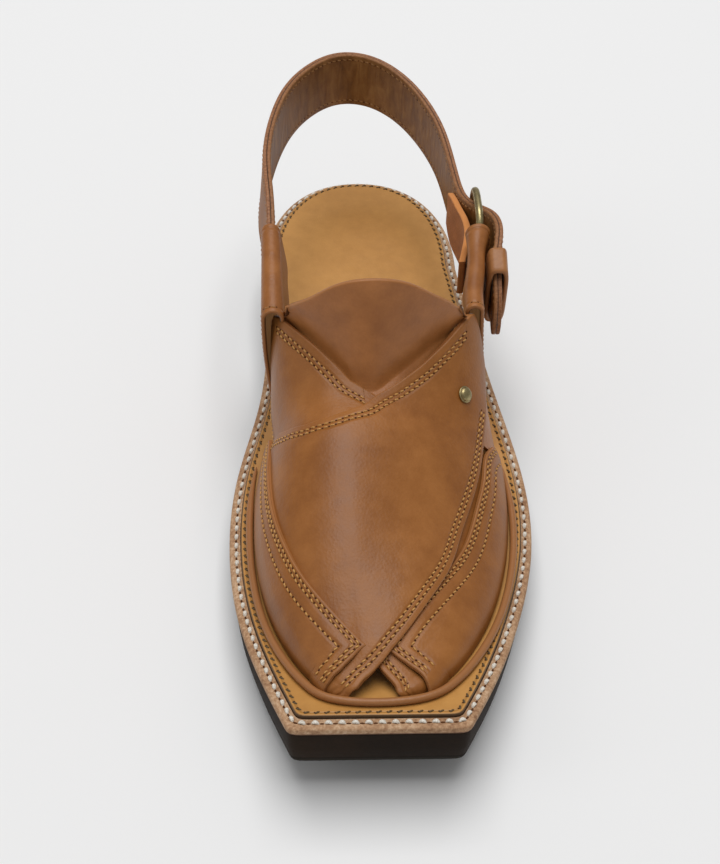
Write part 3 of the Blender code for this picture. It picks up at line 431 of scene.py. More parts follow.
def to_metres(points):
    return (np.asarray(points, float) - (CENTRE_X, 0, 0)) * MM


def unit(vectors):
    return vectors / (np.linalg.norm(vectors, axis=-1, keepdims=True) + 1e-12)


def lengths(line):
    """Way along a line of points, from 0 at its first."""
    return np.concatenate(([0], np.cumsum(np.linalg.norm(np.diff(line, axis=0), axis=1))))


def read_along(way, line, at):
    """Points of a line at these distances along it. way holds the distances of its own points."""
    return np.column_stack([np.interp(at, way, column) for column in line.T])


def resampled(line, count):
    """The line's points read again at even steps."""
    way = lengths(line)
    return read_along(way, line, np.linspace(0, way[-1], count))


def distance_to(points, line):
    """Distance of every point to a line of points."""
    flat = points.reshape(-1, 3)
    parts = np.array_split(flat, 30)
    nearest = np.concatenate([((part[:, None] - line) ** 2).sum(2).argmin(1) for part in parts])
    best = np.full(len(flat), np.inf)
    for shift in (-1, 0):
        i = np.clip(nearest + shift, 0, len(line) - 2)
        a, step = line[i], line[i + 1] - line[i]
        t = np.clip(((flat - a) * step).sum(1) / ((step ** 2).sum(1) + 1e-12), 0, 1)
        best = np.minimum(best, np.linalg.norm(flat - a - step * t[:, None], axis=1))
    return best.reshape(points.shape[:-1])


def nearest(points, *lines):
    """Distance of every point to the nearest of some lines."""
    return np.minimum.reduce([distance_to(points, line) for line in lines])


def graded(count, length, start=False, end=True):
    """Shares from 0 to 1 for each length, closer together at the ends that are cut edges."""
    length = np.atleast_1d(length).astype(float)[:, None]
    near = NEAR / length
    near = near * np.minimum(1, 0.4 / near[:, -1:])
    low = near[:, -1:] if start else np.zeros_like(length)
    high = 1 - near[:, -1:] if end else np.ones_like(length)
    middle = low + (high - low) * np.linspace(0, 1, count)
    parts = [near[:, :-1]] if start else []
    parts.append(middle)
    if end:
        parts.append(1 - near[:, -2::-1])
    return np.concatenate(parts, axis=1)


# ---- making objects
def grid_faces(rows, cols, closed=False, ends=""):
    """Quads of a grid of points. A closed grid joins its last column to its first. The ends, its first and last
    row, can be "capped", or "joined" to each other."""
    i, j = np.meshgrid(np.arange(rows - (ends != "joined")), np.arange(cols - (not closed)), indexing="ij")
    below, k = (i + 1) % rows, (j + 1) % cols
    quads = np.stack([i * cols + j, i * cols + k, below * cols + k, below * cols + j], axis=-1)
    faces = quads.reshape(-1, 4).tolist()
    if ends == "capped":
        faces += [list(range(cols))[::-1], list(range((rows - 1) * cols, rows * cols))]
    return faces


def add(name, data):
    obj = bpy.data.objects.new(name, data)
    bpy.context.scene.collection.objects.link(obj)
    return obj


def make_object(name, points, faces, finish, slot, values=None, sharp=None, replaces=()):
    """A piece from points in millimetres, its faces and the named value of each point that its finish reads."""
    mesh = bpy.data.meshes.new(name)
    mesh.from_pydata(to_metres(points).reshape(-1, 3).tolist(), [], faces)
    solid = bmesh.new()
    solid.from_mesh(mesh)
    if solid.calc_volume(signed=True) < 0:
        mesh.flip_normals()
    solid.free()
    mesh.materials.append(finish)
    mesh.shade_smooth()
    if sharp:
        mesh.set_sharp_from_angle(angle=math.radians(sharp))
    for key, data in (values or {}).items():
        carried = mesh.attributes.new(key, "FLOAT", "POINT")
        carried.data.foreach_set("value", np.asarray(data, np.float32).ravel())
    obj = add(name, mesh)
    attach(obj, "root")
    if replaces:
        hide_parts(*replaces)


def grid_normals(grid, towards, cols=slice(None)):
    """Unit normals of a grid of points, on the side that mostly faces a direction in these columns."""
    normals = unit(np.cross(np.gradient(grid, axis=0), np.gradient(grid, axis=1)))
    return normals * np.sign((normals[:, cols].mean((0, 1)) * towards).sum())


def shell(name, outer, inner, edge, finish, seam=None, replaces=(), both=False, slot="upper_leather"):
    """A closed sheet between two grids of points. The outer face drops in a quarter round along its cut edges,
    the inner one too if both is set. edge holds each point's distance to the nearest cut edge."""
    rows, cols = edge.shape
    n = rows * cols
    across = unit(inner - outer)
    left = np.maximum(CUT_ROUND - edge, 0)
    drop = (CUT_ROUND - np.sqrt(np.maximum(CUT_ROUND ** 2 - left ** 2, 0)))[..., None] * across
    outer, inner = (outer + drop).reshape(-1, 3), (inner - drop * both).reshape(-1, 3)
    faces = grid_faces(rows, cols)
    quads = np.array(faces)
    index = np.arange(n).reshape(rows, cols)
    rim = np.concatenate((index[0, :-1], index[:-1, -1], index[-1, :0:-1], index[:0:-1, 0]))
    after = np.roll(rim, -1)
    faces += (quads[:, ::-1] + n).tolist() + np.stack([rim, rim + n, after + n, after], axis=-1).tolist()
    a, b, d = (outer[quads[:, k]] for k in (0, 1, 3))
    if (np.cross(b - a, d - a) * across.reshape(-1, 3)[quads[:, 0]]).sum() > 0:
        faces = [face[::-1] for face in faces]
    far = np.full(n, FAR)
    lined = np.zeros((2, rows, cols))
    lined[1, 1:-1, 1:-1] = 1
    values = {"edge": np.tile(edge.ravel(), 2),
              "seam": np.concatenate((far if seam is None else seam.ravel(), far)), "inner": lined}
    make_object(name, np.concatenate((outer, inner)), faces, finish, slot, values, 60, replaces)


def tube(name, path, radius, finish, slot, sides, replaces, closed=False, turn=(0, 0, 1)):
    """A round cord or wire along a path. Its ends, if it has any, are rounded."""
    radius = np.ones(len(path)) * radius
    if closed:
        tangent = unit(np.roll(path, -1, axis=0) - np.roll(path, 1, axis=0))
    else:
        tangent = unit(np.gradient(path, axis=0))
        radius[:3] *= TUBE_END
        radius[:-4:-1] *= TUBE_END
    side = unit(np.cross(tangent, turn))
    up = np.cross(side, tangent)
    angle = turns(sides)[:, None]
    ring = path[:, None] + radius[:, None, None] * (side[:, None] * np.cos(angle) + up[:, None] * np.sin(angle))
    faces = grid_faces(len(path), sides, closed=True, ends="joined" if closed else "capped")
    make_object(name, ring, faces, finish, slot, None, 70, replaces)


# ---- leather laid on the last
def eased(values, pad):
    """Values along a line averaged with their neighbours, as many as pad on either side. The ends stay."""
    weights = np.hanning(2 * pad + 3)[1:-1]
    before = 2 * values[0] - values[pad:0:-1]
    behind = 2 * values[-1] - values[-2:-pad - 2:-1]
    return np.convolve(np.concatenate((before, values, behind)), weights / weights.sum(), "valid")


def smoothed(edge, reach, fine=400):
    """An edge's table read finely, with its corners eased over this share of its length. The ends stay."""
    share, s, y = columns(edge)
    at = np.linspace(0, 1, fine + 1)
    return at, *(eased(np.interp(at, share, column), int(reach * fine)) for column in (s, y))


def place(shape, along, across):
    """Places (s, y) of a panel at shares along it, from the toe, and across it, from its foot."""
    rows, side, rear, front = shape
    foot_y, edge_s, edge_y = between(rows, along)
    s = side + (edge_s - side) * across
    y = foot_y + (edge_y - foot_y) * across
    for edge, row, weight, reach in ((rear, rows[-1], along ** 3, REAR_EASE),
                                     (front, rows[0], (1 - along) ** 6, FRONT_EASE)):
        if edge:
            share, line_s, line_y = smoothed(edge, reach)
            s = s + weight * (np.interp(across, share, line_s) - side - (row[2] - side) * across)
            y = y + weight * (np.interp(across, share, line_y) - row[1] - (row[3] - row[1]) * across)
    return np.clip(s, -1, 1), y


def frame_of(surface, s, y):
    """Points of a surface over the last at the places (s, y), with what one unit of s and of y moves them."""
    low, high = np.clip(s - 2e-3, -1, 1), np.clip(s + 2e-3, -1, 1)
    per_s = (surface(high, y) - surface(low, y)) / (high - low)[..., None]
    per_y = (surface(s, y + 0.1) - surface(s, y - 0.1)) / 0.2
    return surface(s, y), per_s, per_y


def surface_normal(surface, s, y):
    """The surface's own normals, or the last's where the surface folds too sharply for them."""
    _, per_s, per_y = frame_of(surface, s, y)
    own, last = unit(np.cross(per_s, per_y)), unit(on_last(s, y, 3) - on_last(s, y, 1))
    share = np.clip(((own * last).sum(-1, keepdims=True) - 0.35) / 0.4, 0, 1)
    return unit(own * share + last * (1 - share))


def evened(surface, line, step=1.2):
    """The same line of places with its points this far apart on the surface."""
    way = lengths(surface(*line))
    at = np.linspace(0, way[-1], max(int(way[-1] / step), 8))
    return [np.interp(at, way, values) for values in line]


def move_in(surface, line, distance, steps=6):
    """The line of places that runs on a surface at a distance to the left of a line of places."""
    line = evened(surface, line)
    s, y = line
    for _ in range(steps):
        here, per_s, per_y = frame_of(surface, s, y)
        tangent = unit(np.gradient(here, axis=0))
        step = unit(np.cross(np.cross(per_s, per_y), tangent)) * distance / steps
        ss, sy, yy, to_s, to_y = ((a * b).sum(1) for a, b in (
            (per_s, per_s), (per_s, per_y), (per_y, per_y), (per_s, step), (per_y, step)))
        size = ss * yy - sy ** 2 + 1e-9
        s = np.clip(s + (to_s * yy - to_y * sy) / size, -1, 1)
        y = y + (to_y * ss - to_s * sy) / size
    off = np.abs(distance_to(surface(s, y), surface(*line)) - abs(distance))
    held = off <= STRAY[0] * abs(distance) + STRAY[1]
    return evened(surface, [eased(values, 3) for values in evened(surface, (s[held], y[held]))])


def corner(first, second):
    """Two lines of places cut off where they cross: the end of the first, and the start of the second."""
    a, b = np.column_stack(first), np.column_stack(second)
    for i in range(len(a) - 1):
        step = a[i + 1] - a[i]
        for j in range(len(b) - 1, 0, -1):
            back, gap = b[j] - b[j - 1], b[j - 1] - a[i]
            size = step[0] * back[1] - step[1] * back[0]
            if abs(size) < 1e-12:
                continue
            t = (gap[0] * back[1] - gap[1] * back[0]) / size
            u = (gap[0] * step[1] - gap[1] * step[0]) / size
            if 0 <= t <= 1 and 0 <= u <= 1:
                cross = a[i] + step * t
                return np.vstack((a[:i + 1], cross)).T, np.vstack((cross, b[j:])).T
    return first, second


# ---- finishes
class Finish:
    """A material and short names for adding nodes to it."""

    def __init__(self, name, roughness, specular=0.5, metallic=0):
        self.material = bpy.data.materials.new(name)
        self.material.use_nodes = True
        self.tree = self.material.node_tree
        self.set(Roughness=roughness, Metallic=metallic, Specular_IOR_Level=specular)
        self.place = self.node("ShaderNodeTexCoord", {}, "Object")

    def feed(self, socket, value):
        if isinstance(value, bpy.types.NodeSocket):
            self.tree.links.new(value, socket)
        else:
            socket.default_value = value

    def set(self, **settings):
        for key, value in settings.items():
            self.feed(self.tree.nodes["Principled BSDF"].inputs[key.replace("_", " ")], value)

    def node(self, kind, inputs, output=0, **settings):
        """A new node of this kind with its settings and inputs. Returns one of its outputs."""
        node = self.tree.nodes.new(kind)
        for key, value in settings.items():
            setattr(node, key, value)
        for key, value in inputs.items():
            self.feed(node.inputs[key], value)
        return node.outputs[output]

    def math(self, operation, a, b=0):
        return self.node("ShaderNodeMath", {0: a, 1: b}, operation=operation)

    def sum(self, *parts, base=None):
        """Adds up pairs of a value and its share, to a base if there is one."""
        for value, share in parts:
            part = self.math("MULTIPLY", value, share)
            base = part if base is None else self.math("ADD", base, part)
        return base

    def noise(self, size, detail=2, roughness=0.5, distortion=0, stretch=(1, 1, 1), turn=(0, 0, 0)):
        """Soft noise with patches of about this size in millimetres, drawn out where stretch is small."""
        place = self.node("ShaderNodeMapping", {"Vector": self.place, "Scale": stretch, "Rotation": turn})
        return self.node("ShaderNodeTexNoise", {"Vector": place, "Scale": 1000 / size, "Detail": detail,
                                                "Roughness": roughness, "Distortion": distortion}, "Fac")

    def cells(self, size):
        return self.node("ShaderNodeTexVoronoi", {"Vector": self.place, "Scale": 1000 / size}, "Distance")

    def value(self, name):
        """A value that the mesh carries for each point."""
        return self.node("ShaderNodeAttribute", {}, "Fac", attribute_name=name)

    def band(self, value, low, high, to_low=0, to_high=1):
        """Goes smoothly from to_low to to_high as value goes from low to high."""
        return self.node("ShaderNodeMapRange", {"Value": value, "From Min": low, "From Max": high,
                                                "To Min": to_low, "To Max": to_high},
                         "Result", interpolation_type="SMOOTHSTEP")

    def line(self, value, at, width, high=1):
        """high where value is at, falling to 0 within width on both sides."""
        return self.band(self.math("ABSOLUTE", self.math("SUBTRACT", value, at)), 0, width, high, 0)

    def ramp(self, value, *stops):
        colour = self.node("ShaderNodeValToRGB", {"Fac": value}, "Color")
        elements = colour.node.color_ramp.elements
        while len(elements) < len(stops):
            elements.new(0.5)
        for element, (at, tint) in zip(elements, stops):
            element.position, element.color = at, (*tint, 1)
        return colour

    def mix(self, share, a, tint):
        tint = (*tint, 1) if isinstance(tint, tuple) else tint
        return self.node("ShaderNodeMix", {"Factor": share, 6: a, 7: tint}, 2, data_type="RGBA")

    def bump(self, depth, *heights):
        """Relief from pairs of a height and its share of the depth in millimetres. Returns the material."""
        if heights:
            inputs = {"Height": self.sum(*heights), "Distance": depth * MM, "Strength": 1}
            self.set(Normal=self.node("ShaderNodeBump", inputs, "Normal"))
        return self.material


def upper_leather(name, dark, middle, light, rows=(), gloss=0.42):
    """Waxed leather: mottled in soft patches, finely grained, lighter along cut edges, where the raw edge's own
    colour is joined by a painted highlight of the rim catching light, and drawn in along its stitch rows. The
    inner side is plain lining."""
    f = Finish(name, gloss, 0.34)
    large, small, fine = f.noise(34, 3, 0.55, 0.4), f.noise(7, 5, 0.62), f.noise(0.9, 2, 0.6)
    tone = f.sum((large, 0.62), (small, 0.38), (f.math("SUBTRACT", fine, 0.5), 0.1))
    colour = f.ramp(tone, (0.36, dark), (0.5, middle), (0.64, light))
    # Cut edges turn a light orange: the raw edge's own colour, partly a painted highlight of the rim catching
    # the light.
    colour = f.mix(f.band(f.value("edge"), 0.1, 0.6, 0.8, 0), colour, (0.36, 0.15, 0.05))
    heights = [(f.cells(1.1), 0.28), (fine, 0.22), (f.noise(4, 4, 0.6), 0.9)]
    if rows:
        seam, grooves = f.value("seam"), 0
        for row in rows:
            grooves = f.math("MAXIMUM", grooves, f.line(seam, row, 0.36))
        colour = f.mix(f.math("MULTIPLY", grooves, 0.3), colour, dark)
        heights.append((grooves, -1.4))
    f.set(Base_Color=f.mix(f.value("inner"), colour, (0.13, 0.055, 0.02)),
          Roughness=f.sum((small, 0.2), base=gloss - 0.09))
    return f.bump(0.16, *heights)


def rubber_finish():
    f = Finish("sole_rubber_finish", 0.7, 0.1)
    tone = f.sum((f.noise(18, 3), 0.6), (f.noise(1.6, 3), 0.4))
    colour = f.ramp(tone, (0.3, (0.0115, 0.0062, 0.0032)), (0.7, (0.025, 0.014, 0.0075)))
    colour = f.mix(f.band(f.value("height"), 2.2, 2.9, 0.7, 0), colour, (0.03, 0.027, 0.022))
    f.set(Base_Color=colour, Roughness=f.sum((tone, 0.2), base=0.62))
    return f.bump(0.12, (f.noise(0.8, 3), 0.5), (f.noise(5, 2), 0.8))


def welt_finish():
    """Raw leather: pale, rough and flecked on top, with a darker burnished band low on its side."""
    f = Finish("welt_finish", 0.72, 0.3)
    fleck = f.noise(1.3, 4, 0.7)
    tone = f.sum((fleck, 0.65), (f.noise(14, 3, 0.6), 0.35))
    colour = f.ramp(tone, (0.32, (0.21, 0.095, 0.042)), (0.5, (0.44, 0.255, 0.138)), (0.68, (0.68, 0.48, 0.31)))
    height = f.sum((f.noise(2.2, 2), 0.5), base=f.value("height"))
    f.set(Base_Color=f.mix(f.band(height, 1.35, 1.85, 0.9, 0), colour, (0.105, 0.045, 0.022)))
    return f.bump(0.3, (fleck, 1), (f.noise(0.5, 2), 0.4))


def footbed_finish():
    """Smooth mustard leather with a dark cut edge and a crease that runs along it."""
    f = Finish("footbed_finish", 0.45, 0.36)
    tone = f.sum((f.noise(45, 2, 0.5), 0.6), (f.noise(5, 4, 0.6), 0.4))
    colour = f.ramp(tone, (0.34, (0.43, 0.201, 0.048)), (0.5, (0.49, 0.235, 0.058)), (0.66, (0.55, 0.27, 0.07)))
    edge = f.value("edge")
    colour = f.mix(f.band(edge, 0.05, 0.6, 0.9, 0), colour, (0.05, 0.032, 0.022))
    colour = f.mix(f.line(edge, FOOTBED_ROW, 0.7, 0.25), colour, (0.16, 0.075, 0.025))
    f.set(Base_Color=colour, Roughness=f.sum((f.noise(6, 3), 0.18), base=0.36))
    return f.bump(0.14, (f.cells(0.8), 0.2), (f.noise(0.5, 2), 0.2), (f.noise(8, 3), 0.9),
           (f.line(edge, FOOTBED_ROW, 0.6), -1.6))


def plain_finish(name, roughness, specular, size, detail, low, high, relief):
    """Two tones of one noise, which also raises the surface by this relief: thread, and the needle holes'
    painted shade.
    """
    f = Finish(name, roughness, specular)
    noise = f.noise(size, detail)
    f.set(Base_Color=f.ramp(noise, low, high))
    return f.bump(relief, *[(noise, 1)] * (relief > 0))


def suede_finish():
    f = Finish("suede_finish", 0.95, 0.15)
    nap = f.noise(0.7, 4, 0.7)
    colour = f.ramp(f.sum((nap, 0.6), (f.noise(6, 3), 0.4)),
                    (0.32, (0.33, 0.118, 0.034)), (0.68, (0.56, 0.22, 0.07)))
    colour = f.mix(f.band(f.value("edge"), 0.3, 1, 0.8, 0), colour, (0.68, 0.28, 0.088))
    f.set(Base_Color=colour, Sheen_Weight=0.1, Sheen_Roughness=0.5)
    return f.bump(0.18, (nap, 1), (f.noise(0.3, 2), 0.5))


def brass_finish():
    f = Finish("antique_brass_finish", 0.4, metallic=1)
    tone = f.sum((f.noise(2.5, 4, 0.6), 0.6), (f.noise(0.6, 2), 0.4))
    colour = f.ramp(tone, (0.34, (0.21, 0.165, 0.08)), (0.52, (0.38, 0.31, 0.155)), (0.7, (0.54, 0.45, 0.24)))
    f.set(Base_Color=colour, Roughness=f.band(tone, 0.35, 0.65, 0.52, 0.34))
    return f.bump(0.05, (f.noise(0.9, 3), 1))


def strap_finish():
    """The heel strap from its outer face over its edge to its lining: tan grain, a dark seam, creased brown."""
    f = Finish("heel_strap_finish", 0.5, 0.28)
    small, fine = f.noise(6, 5, 0.62), f.noise(0.8, 2, 0.6)
    face = f.ramp(f.sum((f.noise(28, 3), 0.6), (small, 0.4)),
                  (0.36, (0.235, 0.082, 0.019)), (0.5, (0.3, 0.112, 0.028)), (0.64, (0.365, 0.145, 0.04)))
    crease = f.noise(3.2, 3, 0.6, 0.6, stretch=(1, 1, 0.22), turn=(0.5, 0.35, 0))
    lining = f.ramp(f.sum((crease, 0.6), (small, 0.4)),
                    (0.34, (0.155, 0.06, 0.013)), (0.5, (0.245, 0.105, 0.026)), (0.68, (0.35, 0.165, 0.048)))
    raw = f.ramp(fine, (0.3, (0.19, 0.072, 0.028)), (0.7, (0.4, 0.185, 0.085)))
    depth = f.value("depth")
    colour = f.mix(f.value("rim"), f.mix(f.band(depth, -0.1, 0.1), lining, face), raw)
    colour = f.mix(f.line(depth, 0, 0.26), colour, (0.028, 0.026, 0.026))
    f.set(Base_Color=colour, Roughness=f.sum((small, 0.22), base=0.4))
    inside = f.band(depth, -0.1, 0.1, 1, 0.12)
    return f.bump(0.2, (f.math("MULTIPLY", crease, inside), 1.8), (f.cells(1), 0.25), (fine, 0.25))


# ---- the sole
def sole_loop(inset):
    """Closed plan of the sole moved in by inset: medial side, heel, lateral side, toe, with eased corners."""
    side = resampled(sole_edge(inset), SIDE_POINTS)
    share = np.linspace(0, 1, TOE_POINTS + 2)[1:-1, None]
    loop = np.concatenate((side, side[-1] * (1 - share) + side[0] * share))
    for _ in range(2):
        loop = (np.roll(loop, 1, axis=0) + 2 * loop + np.roll(loop, -1, axis=0)) / 4
    return loop


def layer(name, levels, finish, slot, replaces):
    """A layer of the sole, closed by strips across. Level: inset, height above its base, the height that the
    finish reads (the same if left out), and the base (the rubber's top if left out)."""
    rings, height, edge = [], [], []
    for level in levels:
        inset, up = level[:2]
        mark = level[2] if len(level) > 2 else up
        base = level[3] if len(level) > 3 else rubber_top
        loop = sole_loop(inset)
        rings.append(np.column_stack((loop, base(loop[:, 1]) + up)))
        height.append(np.full(len(loop), mark))
        edge.append(np.full(len(loop), inset - levels[0][0]))
    n = len(rings[0])
    faces = [face[::-1] for face in grid_faces(len(rings), n, closed=True)]
    toe = list(range(SIDE_POINTS, n))
    for low, turn in ((0, 1), ((len(rings) - 1) * n, -1)):
        strips = [([1, 0] + toe[::-1] + [SIDE_POINTS - 1, SIDE_POINTS - 2])[::-1]]
        strips += [list(dict.fromkeys((i, i + 1, SIDE_POINTS - 2 - i, SIDE_POINTS - 1 - i)))
                   for i in range(1, (SIDE_POINTS - 1) // 2)]
        faces += [[low + k for k in strip[::turn]] for strip in strips]
    values = {"height": np.concatenate(height), "edge": np.concatenate(edge)}
    make_object(name, np.concatenate(rings), faces, finish, slot, values, 55, replaces)


def halfway(y):
    return (rubber_bottom(y) + rubber_top(y)) / 2


def build_sole(rubber, raw, bed):
    layer("sole_rubber", [
        (3.4, 0, 0, rubber_bottom), (2.5, 0, 0, rubber_bottom), (1.95, 0.18, 0.2, rubber_bottom),
        (1.7, 0.6, 0.6, rubber_bottom), (1.45, 2.15, 2.1, rubber_bottom), (1.62, 2.45, 2.5, rubber_bottom),
        (1.62, 2.75, 2.8, rubber_bottom), (1.22, 3.1, 3.1, rubber_bottom), (0.85, 0, 8, halfway),
        (0.55, -0.8, 8), (0.62, -0.2, 8), (0.95, 0, 8), (4, 0, 8),
    ], rubber, "sole_rubber", ["outsole"])
    low, high = MIDSOLE_Z
    layer("welt", [(2, low), (0.75, low), (0.35, low + 0.12), (0.12, low + 0.5), (0, low + 1.2)] + [
        (inset, high + up) for inset, up in (
            (0, -1.3), (0.1, -0.75), (0.32, -0.36), (0.68, -0.08), (1.1, 0.08), (1.75, 0.3), (2.15, 0.4),
            (2.45, 0.34), (2.8, 0.36), (3.15, 0.56), (3.45, 0.86), (3.85, 1.16), (4.1, 1.22), (4.2, 1),
            (4.22, 0), (9, 0))
    ], raw, "midsole_leather", ["midsole"])
    low, high = FOOTBED_Z
    layer("footbed_board", [(FOOTBED_INSET, low)] + [
        (FOOTBED_INSET + inset, high + up) for inset, up in (
            (0, -0.75), (0.08, -0.42), (0.28, -0.16), (0.6, -0.02), (1, 0), (1.5, -0.03), (2.2, 0.02),
            (3.2, 0), (6, 0), (10, 0), (16, 0))
    ], bed, "footbed_leather", ["footbed"])


# ---- the upper
def toe_reach(s, y):
    return TOE_REACH * climb(np.abs(s), *TOE_S) * climb(y, *TOE_BACK)


def under_surface(s, y):
    """The under panel's outer face. It stands out a little where it runs up into the medial ear."""
    out = EAR_REACH * climb(s, *EAR_S) * climb(y, *EAR_Y)
    return on_last(s, y, UNDER_LIFT + UNDER_PANEL + out + toe_reach(s, y))


def over_rise(s, y):
    """How far the over panel lifts to cross the lateral wing."""
    free_s = np.interp(y, *columns([(row[3], row[2]) for row in OVER_PANEL_ROWS]))
    along = climb(y, *ARCH_REAR) * climb(y, *ARCH_TOE)
    return OVER_ARCH * along * climb(s - free_s, *ARCH_FREE) * climb(s, *ARCH_FOOT)


def over_pared(s, y):
    """How much thinner the over panel is near its rear edge, where it crosses the under panel."""
    _, line_s, line_y = smoothed(OVER_PANEL_REAR, REAR_EASE)
    order = np.argsort(line_s)
    ahead = np.interp(s, line_s[order], line_y[order]) - y
    return SKIVE * climb(ahead, *PARED) * climb(s, *PARED_S)


def over_surface(s, y):
    return on_last(s, y, OVER_LIFT + OVER_PANEL + over_rise(s, y) - over_pared(s, y) + toe_reach(s, y))


def over_thickness(s, y):
    """Thinner where its outer face is pared or climbs, so that its inner face stays low."""
    return OVER_PANEL - over_pared(s, y) - (OVER_PANEL - OVER_THIN) * over_rise(s, y) / OVER_ARCH


def wing_surface(rows, side, lift):
    """A wing's outer face. Its upper edge lies close on the panel beneath, and its foot spreads to the rand."""
    _, _, edge_s, edge_y = columns(rows)

    def surface(s, y):
        tuck = climb(y, *REAR) * (side < 0)
        low, body = WING_SEAT[side] - REAR_TUCK[0] * tuck, lift + WING - REAR_TUCK[0] * tuck
        foot = FOOT_REACH - REAR_TUCK[1] * tuck
        seated = climb(s * side - np.interp(y, edge_y, edge_s) * side, *SEATED)
        return on_last(s, y, low + (body - low) * seated + (foot - body) * climb(s * side, *SPREAD))
    return surface


def seam_scale(distance, rows):
    """Turns a distance from a sewn edge into a value that is 1 at its first stitch row and 2 at the second."""
    return np.interp(distance, [0, *rows, rows[-1] + 30], [*range(len(rows) + 1), len(rows) + 8])


def off_the_foot(s, y):
    return np.abs(s) < 0.89


def toe_of_under(s, y):
    return (s < 0.95) & (y < -120)


def side_of_under(s, y):
    return (s < -0.5) & (y > -34)


# Free, rear and front edge of a piece: distances of its stitch rows from it, and the places where it is sewn
UNDER_EDGES = (((2.3, 3.7), lambda s, y: (y < -120) | side_of_under(s, y)),
               ((3.8, 5.6), lambda s, y: (-0.43 < s) & (s < 0.075)), None)
OVER_EDGES = (((2.5, 4.3), lambda s, y: (s > -0.95) & (y < -20)),
              ((3.6, 5.4), lambda s, y: (-0.95 < s) & (s < 0.47)), None)
WING_EDGES = (((1.4, 2.8, 7.2), off_the_foot), ((), None), ((1.4, 2.8, 5.9), off_the_foot))


def panel(name, shape, surface, thickness, steps, finish, edges, replaces=()):
    """A panel of the upper from its shape (rows, side, rear and front edge) on a surface over the last. Returns
    its free, rear and front edge as lines of places."""
    along = graded(steps[0], 120, start=shape[3] is not None)[0][:, None]
    rough = place(shape, along, np.linspace(0, 1, 30)[None, :])
    across = graded(steps[1], np.linalg.norm(np.diff(surface(*rough), axis=1), axis=2).sum(1))
    s, y = place(shape, along, across)
    outer = surface(s, y)
    depth = thickness(s, y) if callable(thickness) else thickness
    inner = outer - surface_normal(surface, s, y) * np.expand_dims(depth, -1)
    inner[..., 2] = np.maximum(inner[..., 2], footbed_top(inner[..., 1]) + GAP)
    edge, seam, lines = np.full(s.shape, FAR), np.full(s.shape, FAR), []
    fine = np.linspace(0, 1, 400)
    for ends, sewn in zip(((fine, fine * 0 + 1), (fine * 0 + 1, fine), (fine * 0, fine)), edges):
        lines.append(sewn and place(shape, *ends))
        if sewn:
            distances, keep = sewn
            away = distance_to(outer, surface(*lines[-1]))
            edge = np.minimum(edge, away)
            if distances:
                seam = np.minimum(seam, np.where(keep(s, y), seam_scale(away, distances), FAR))
    shell(name, outer, inner, edge, finish, seam, replaces)
    return lines


def clipped(line, keep):
    """The part of a line of places where keep, a function of s and y, holds."""
    there = keep(*line)
    return [values[there] for values in line]


def build_upper(leather, overlay):
    """The two panels and the two wings. Returns the lines of stitches, each a surface and a line of places."""
    runs = []

    def stitch(surface, line, distances, keep=None):
        for away in distances:
            row = move_in(surface, line, away)
            runs.append((surface, clipped(row, keep) if keep else row))

    shape = UNDER_PANEL_ROWS, UNDER_PANEL_SIDE, UNDER_PANEL_REAR, None
    free, rear, _ = panel("panel_under", shape, under_surface, UNDER_PANEL, (120, 60), leather, UNDER_EDGES,
                          ["upper"])
    (free_rows, _), (rear_rows, keep), _ = UNDER_EDGES
    stitch(under_surface, clipped(free, toe_of_under), [-away for away in free_rows], toe_of_under)
    stitch(under_surface, clipped(free, side_of_under), [-free_rows[0]])
    stitch(under_surface, rear, rear_rows, keep)
    shape = OVER_PANEL_ROWS, OVER_PANEL_SIDE, OVER_PANEL_REAR, None
    free, rear, _ = panel("panel_over", shape, over_surface, over_thickness, (130, 80), leather, OVER_EDGES)
    (free_rows, free_keep), (rear_rows, keep), _ = OVER_EDGES
    stitch(over_surface, clipped(free, free_keep), free_rows, free_keep)
    stitch(over_surface, rear, [-away for away in rear_rows], keep)
    for name, rows, side, front, lift in (
            ("medial", MEDIAL_WING_ROWS, -1, MEDIAL_WING_FRONT, MEDIAL_WING_LIFT),
            ("lateral", LATERAL_WING_ROWS, 1, LATERAL_WING_FRONT, LATERAL_WING_LIFT)):
        surface = wing_surface(rows, side, lift)
        free, _, front = panel("overlay_" + name, (rows, side, None, front), surface, WING, (110, 36), overlay,
                               WING_EDGES, ["wing_" + name])
        front = clipped(front, off_the_foot)
        for back, ahead in zip(WING_EDGES[0][0], WING_EDGES[2][0]):
            pair = corner(move_in(surface, front, -side * ahead), move_in(surface, free, -side * back))
            runs += [(surface, clipped(row, off_the_foot)) for row in pair]
    return runs


def build_quarter(finish):
    """The low side piece from the lateral wing back into the outer ear, tucked under the over panel."""
    along = graded(36, 35)[0]
    foot_y = -27 + 34 * along
    foot = np.column_stack((feather(foot_y)[1] - 1.2, foot_y, footbed_top(foot_y) + GAP))
    top = on_last(0.6, -34 + 35 * along, UNDER_LIFT + UNDER_PANEL)
    bow = np.array((2, 0, 2))
    up = graded(18, 25, end=False)[0]
    grid = np.stack([foot + (top - foot) * u + bow * 4 * u * (1 - u) for u in up], axis=1)
    inner = grid - grid_normals(grid, (1, 0, 0.4)) * QUARTER
    shell("quarter_lateral", grid, inner, np.full(grid.shape[:2], FAR), finish)


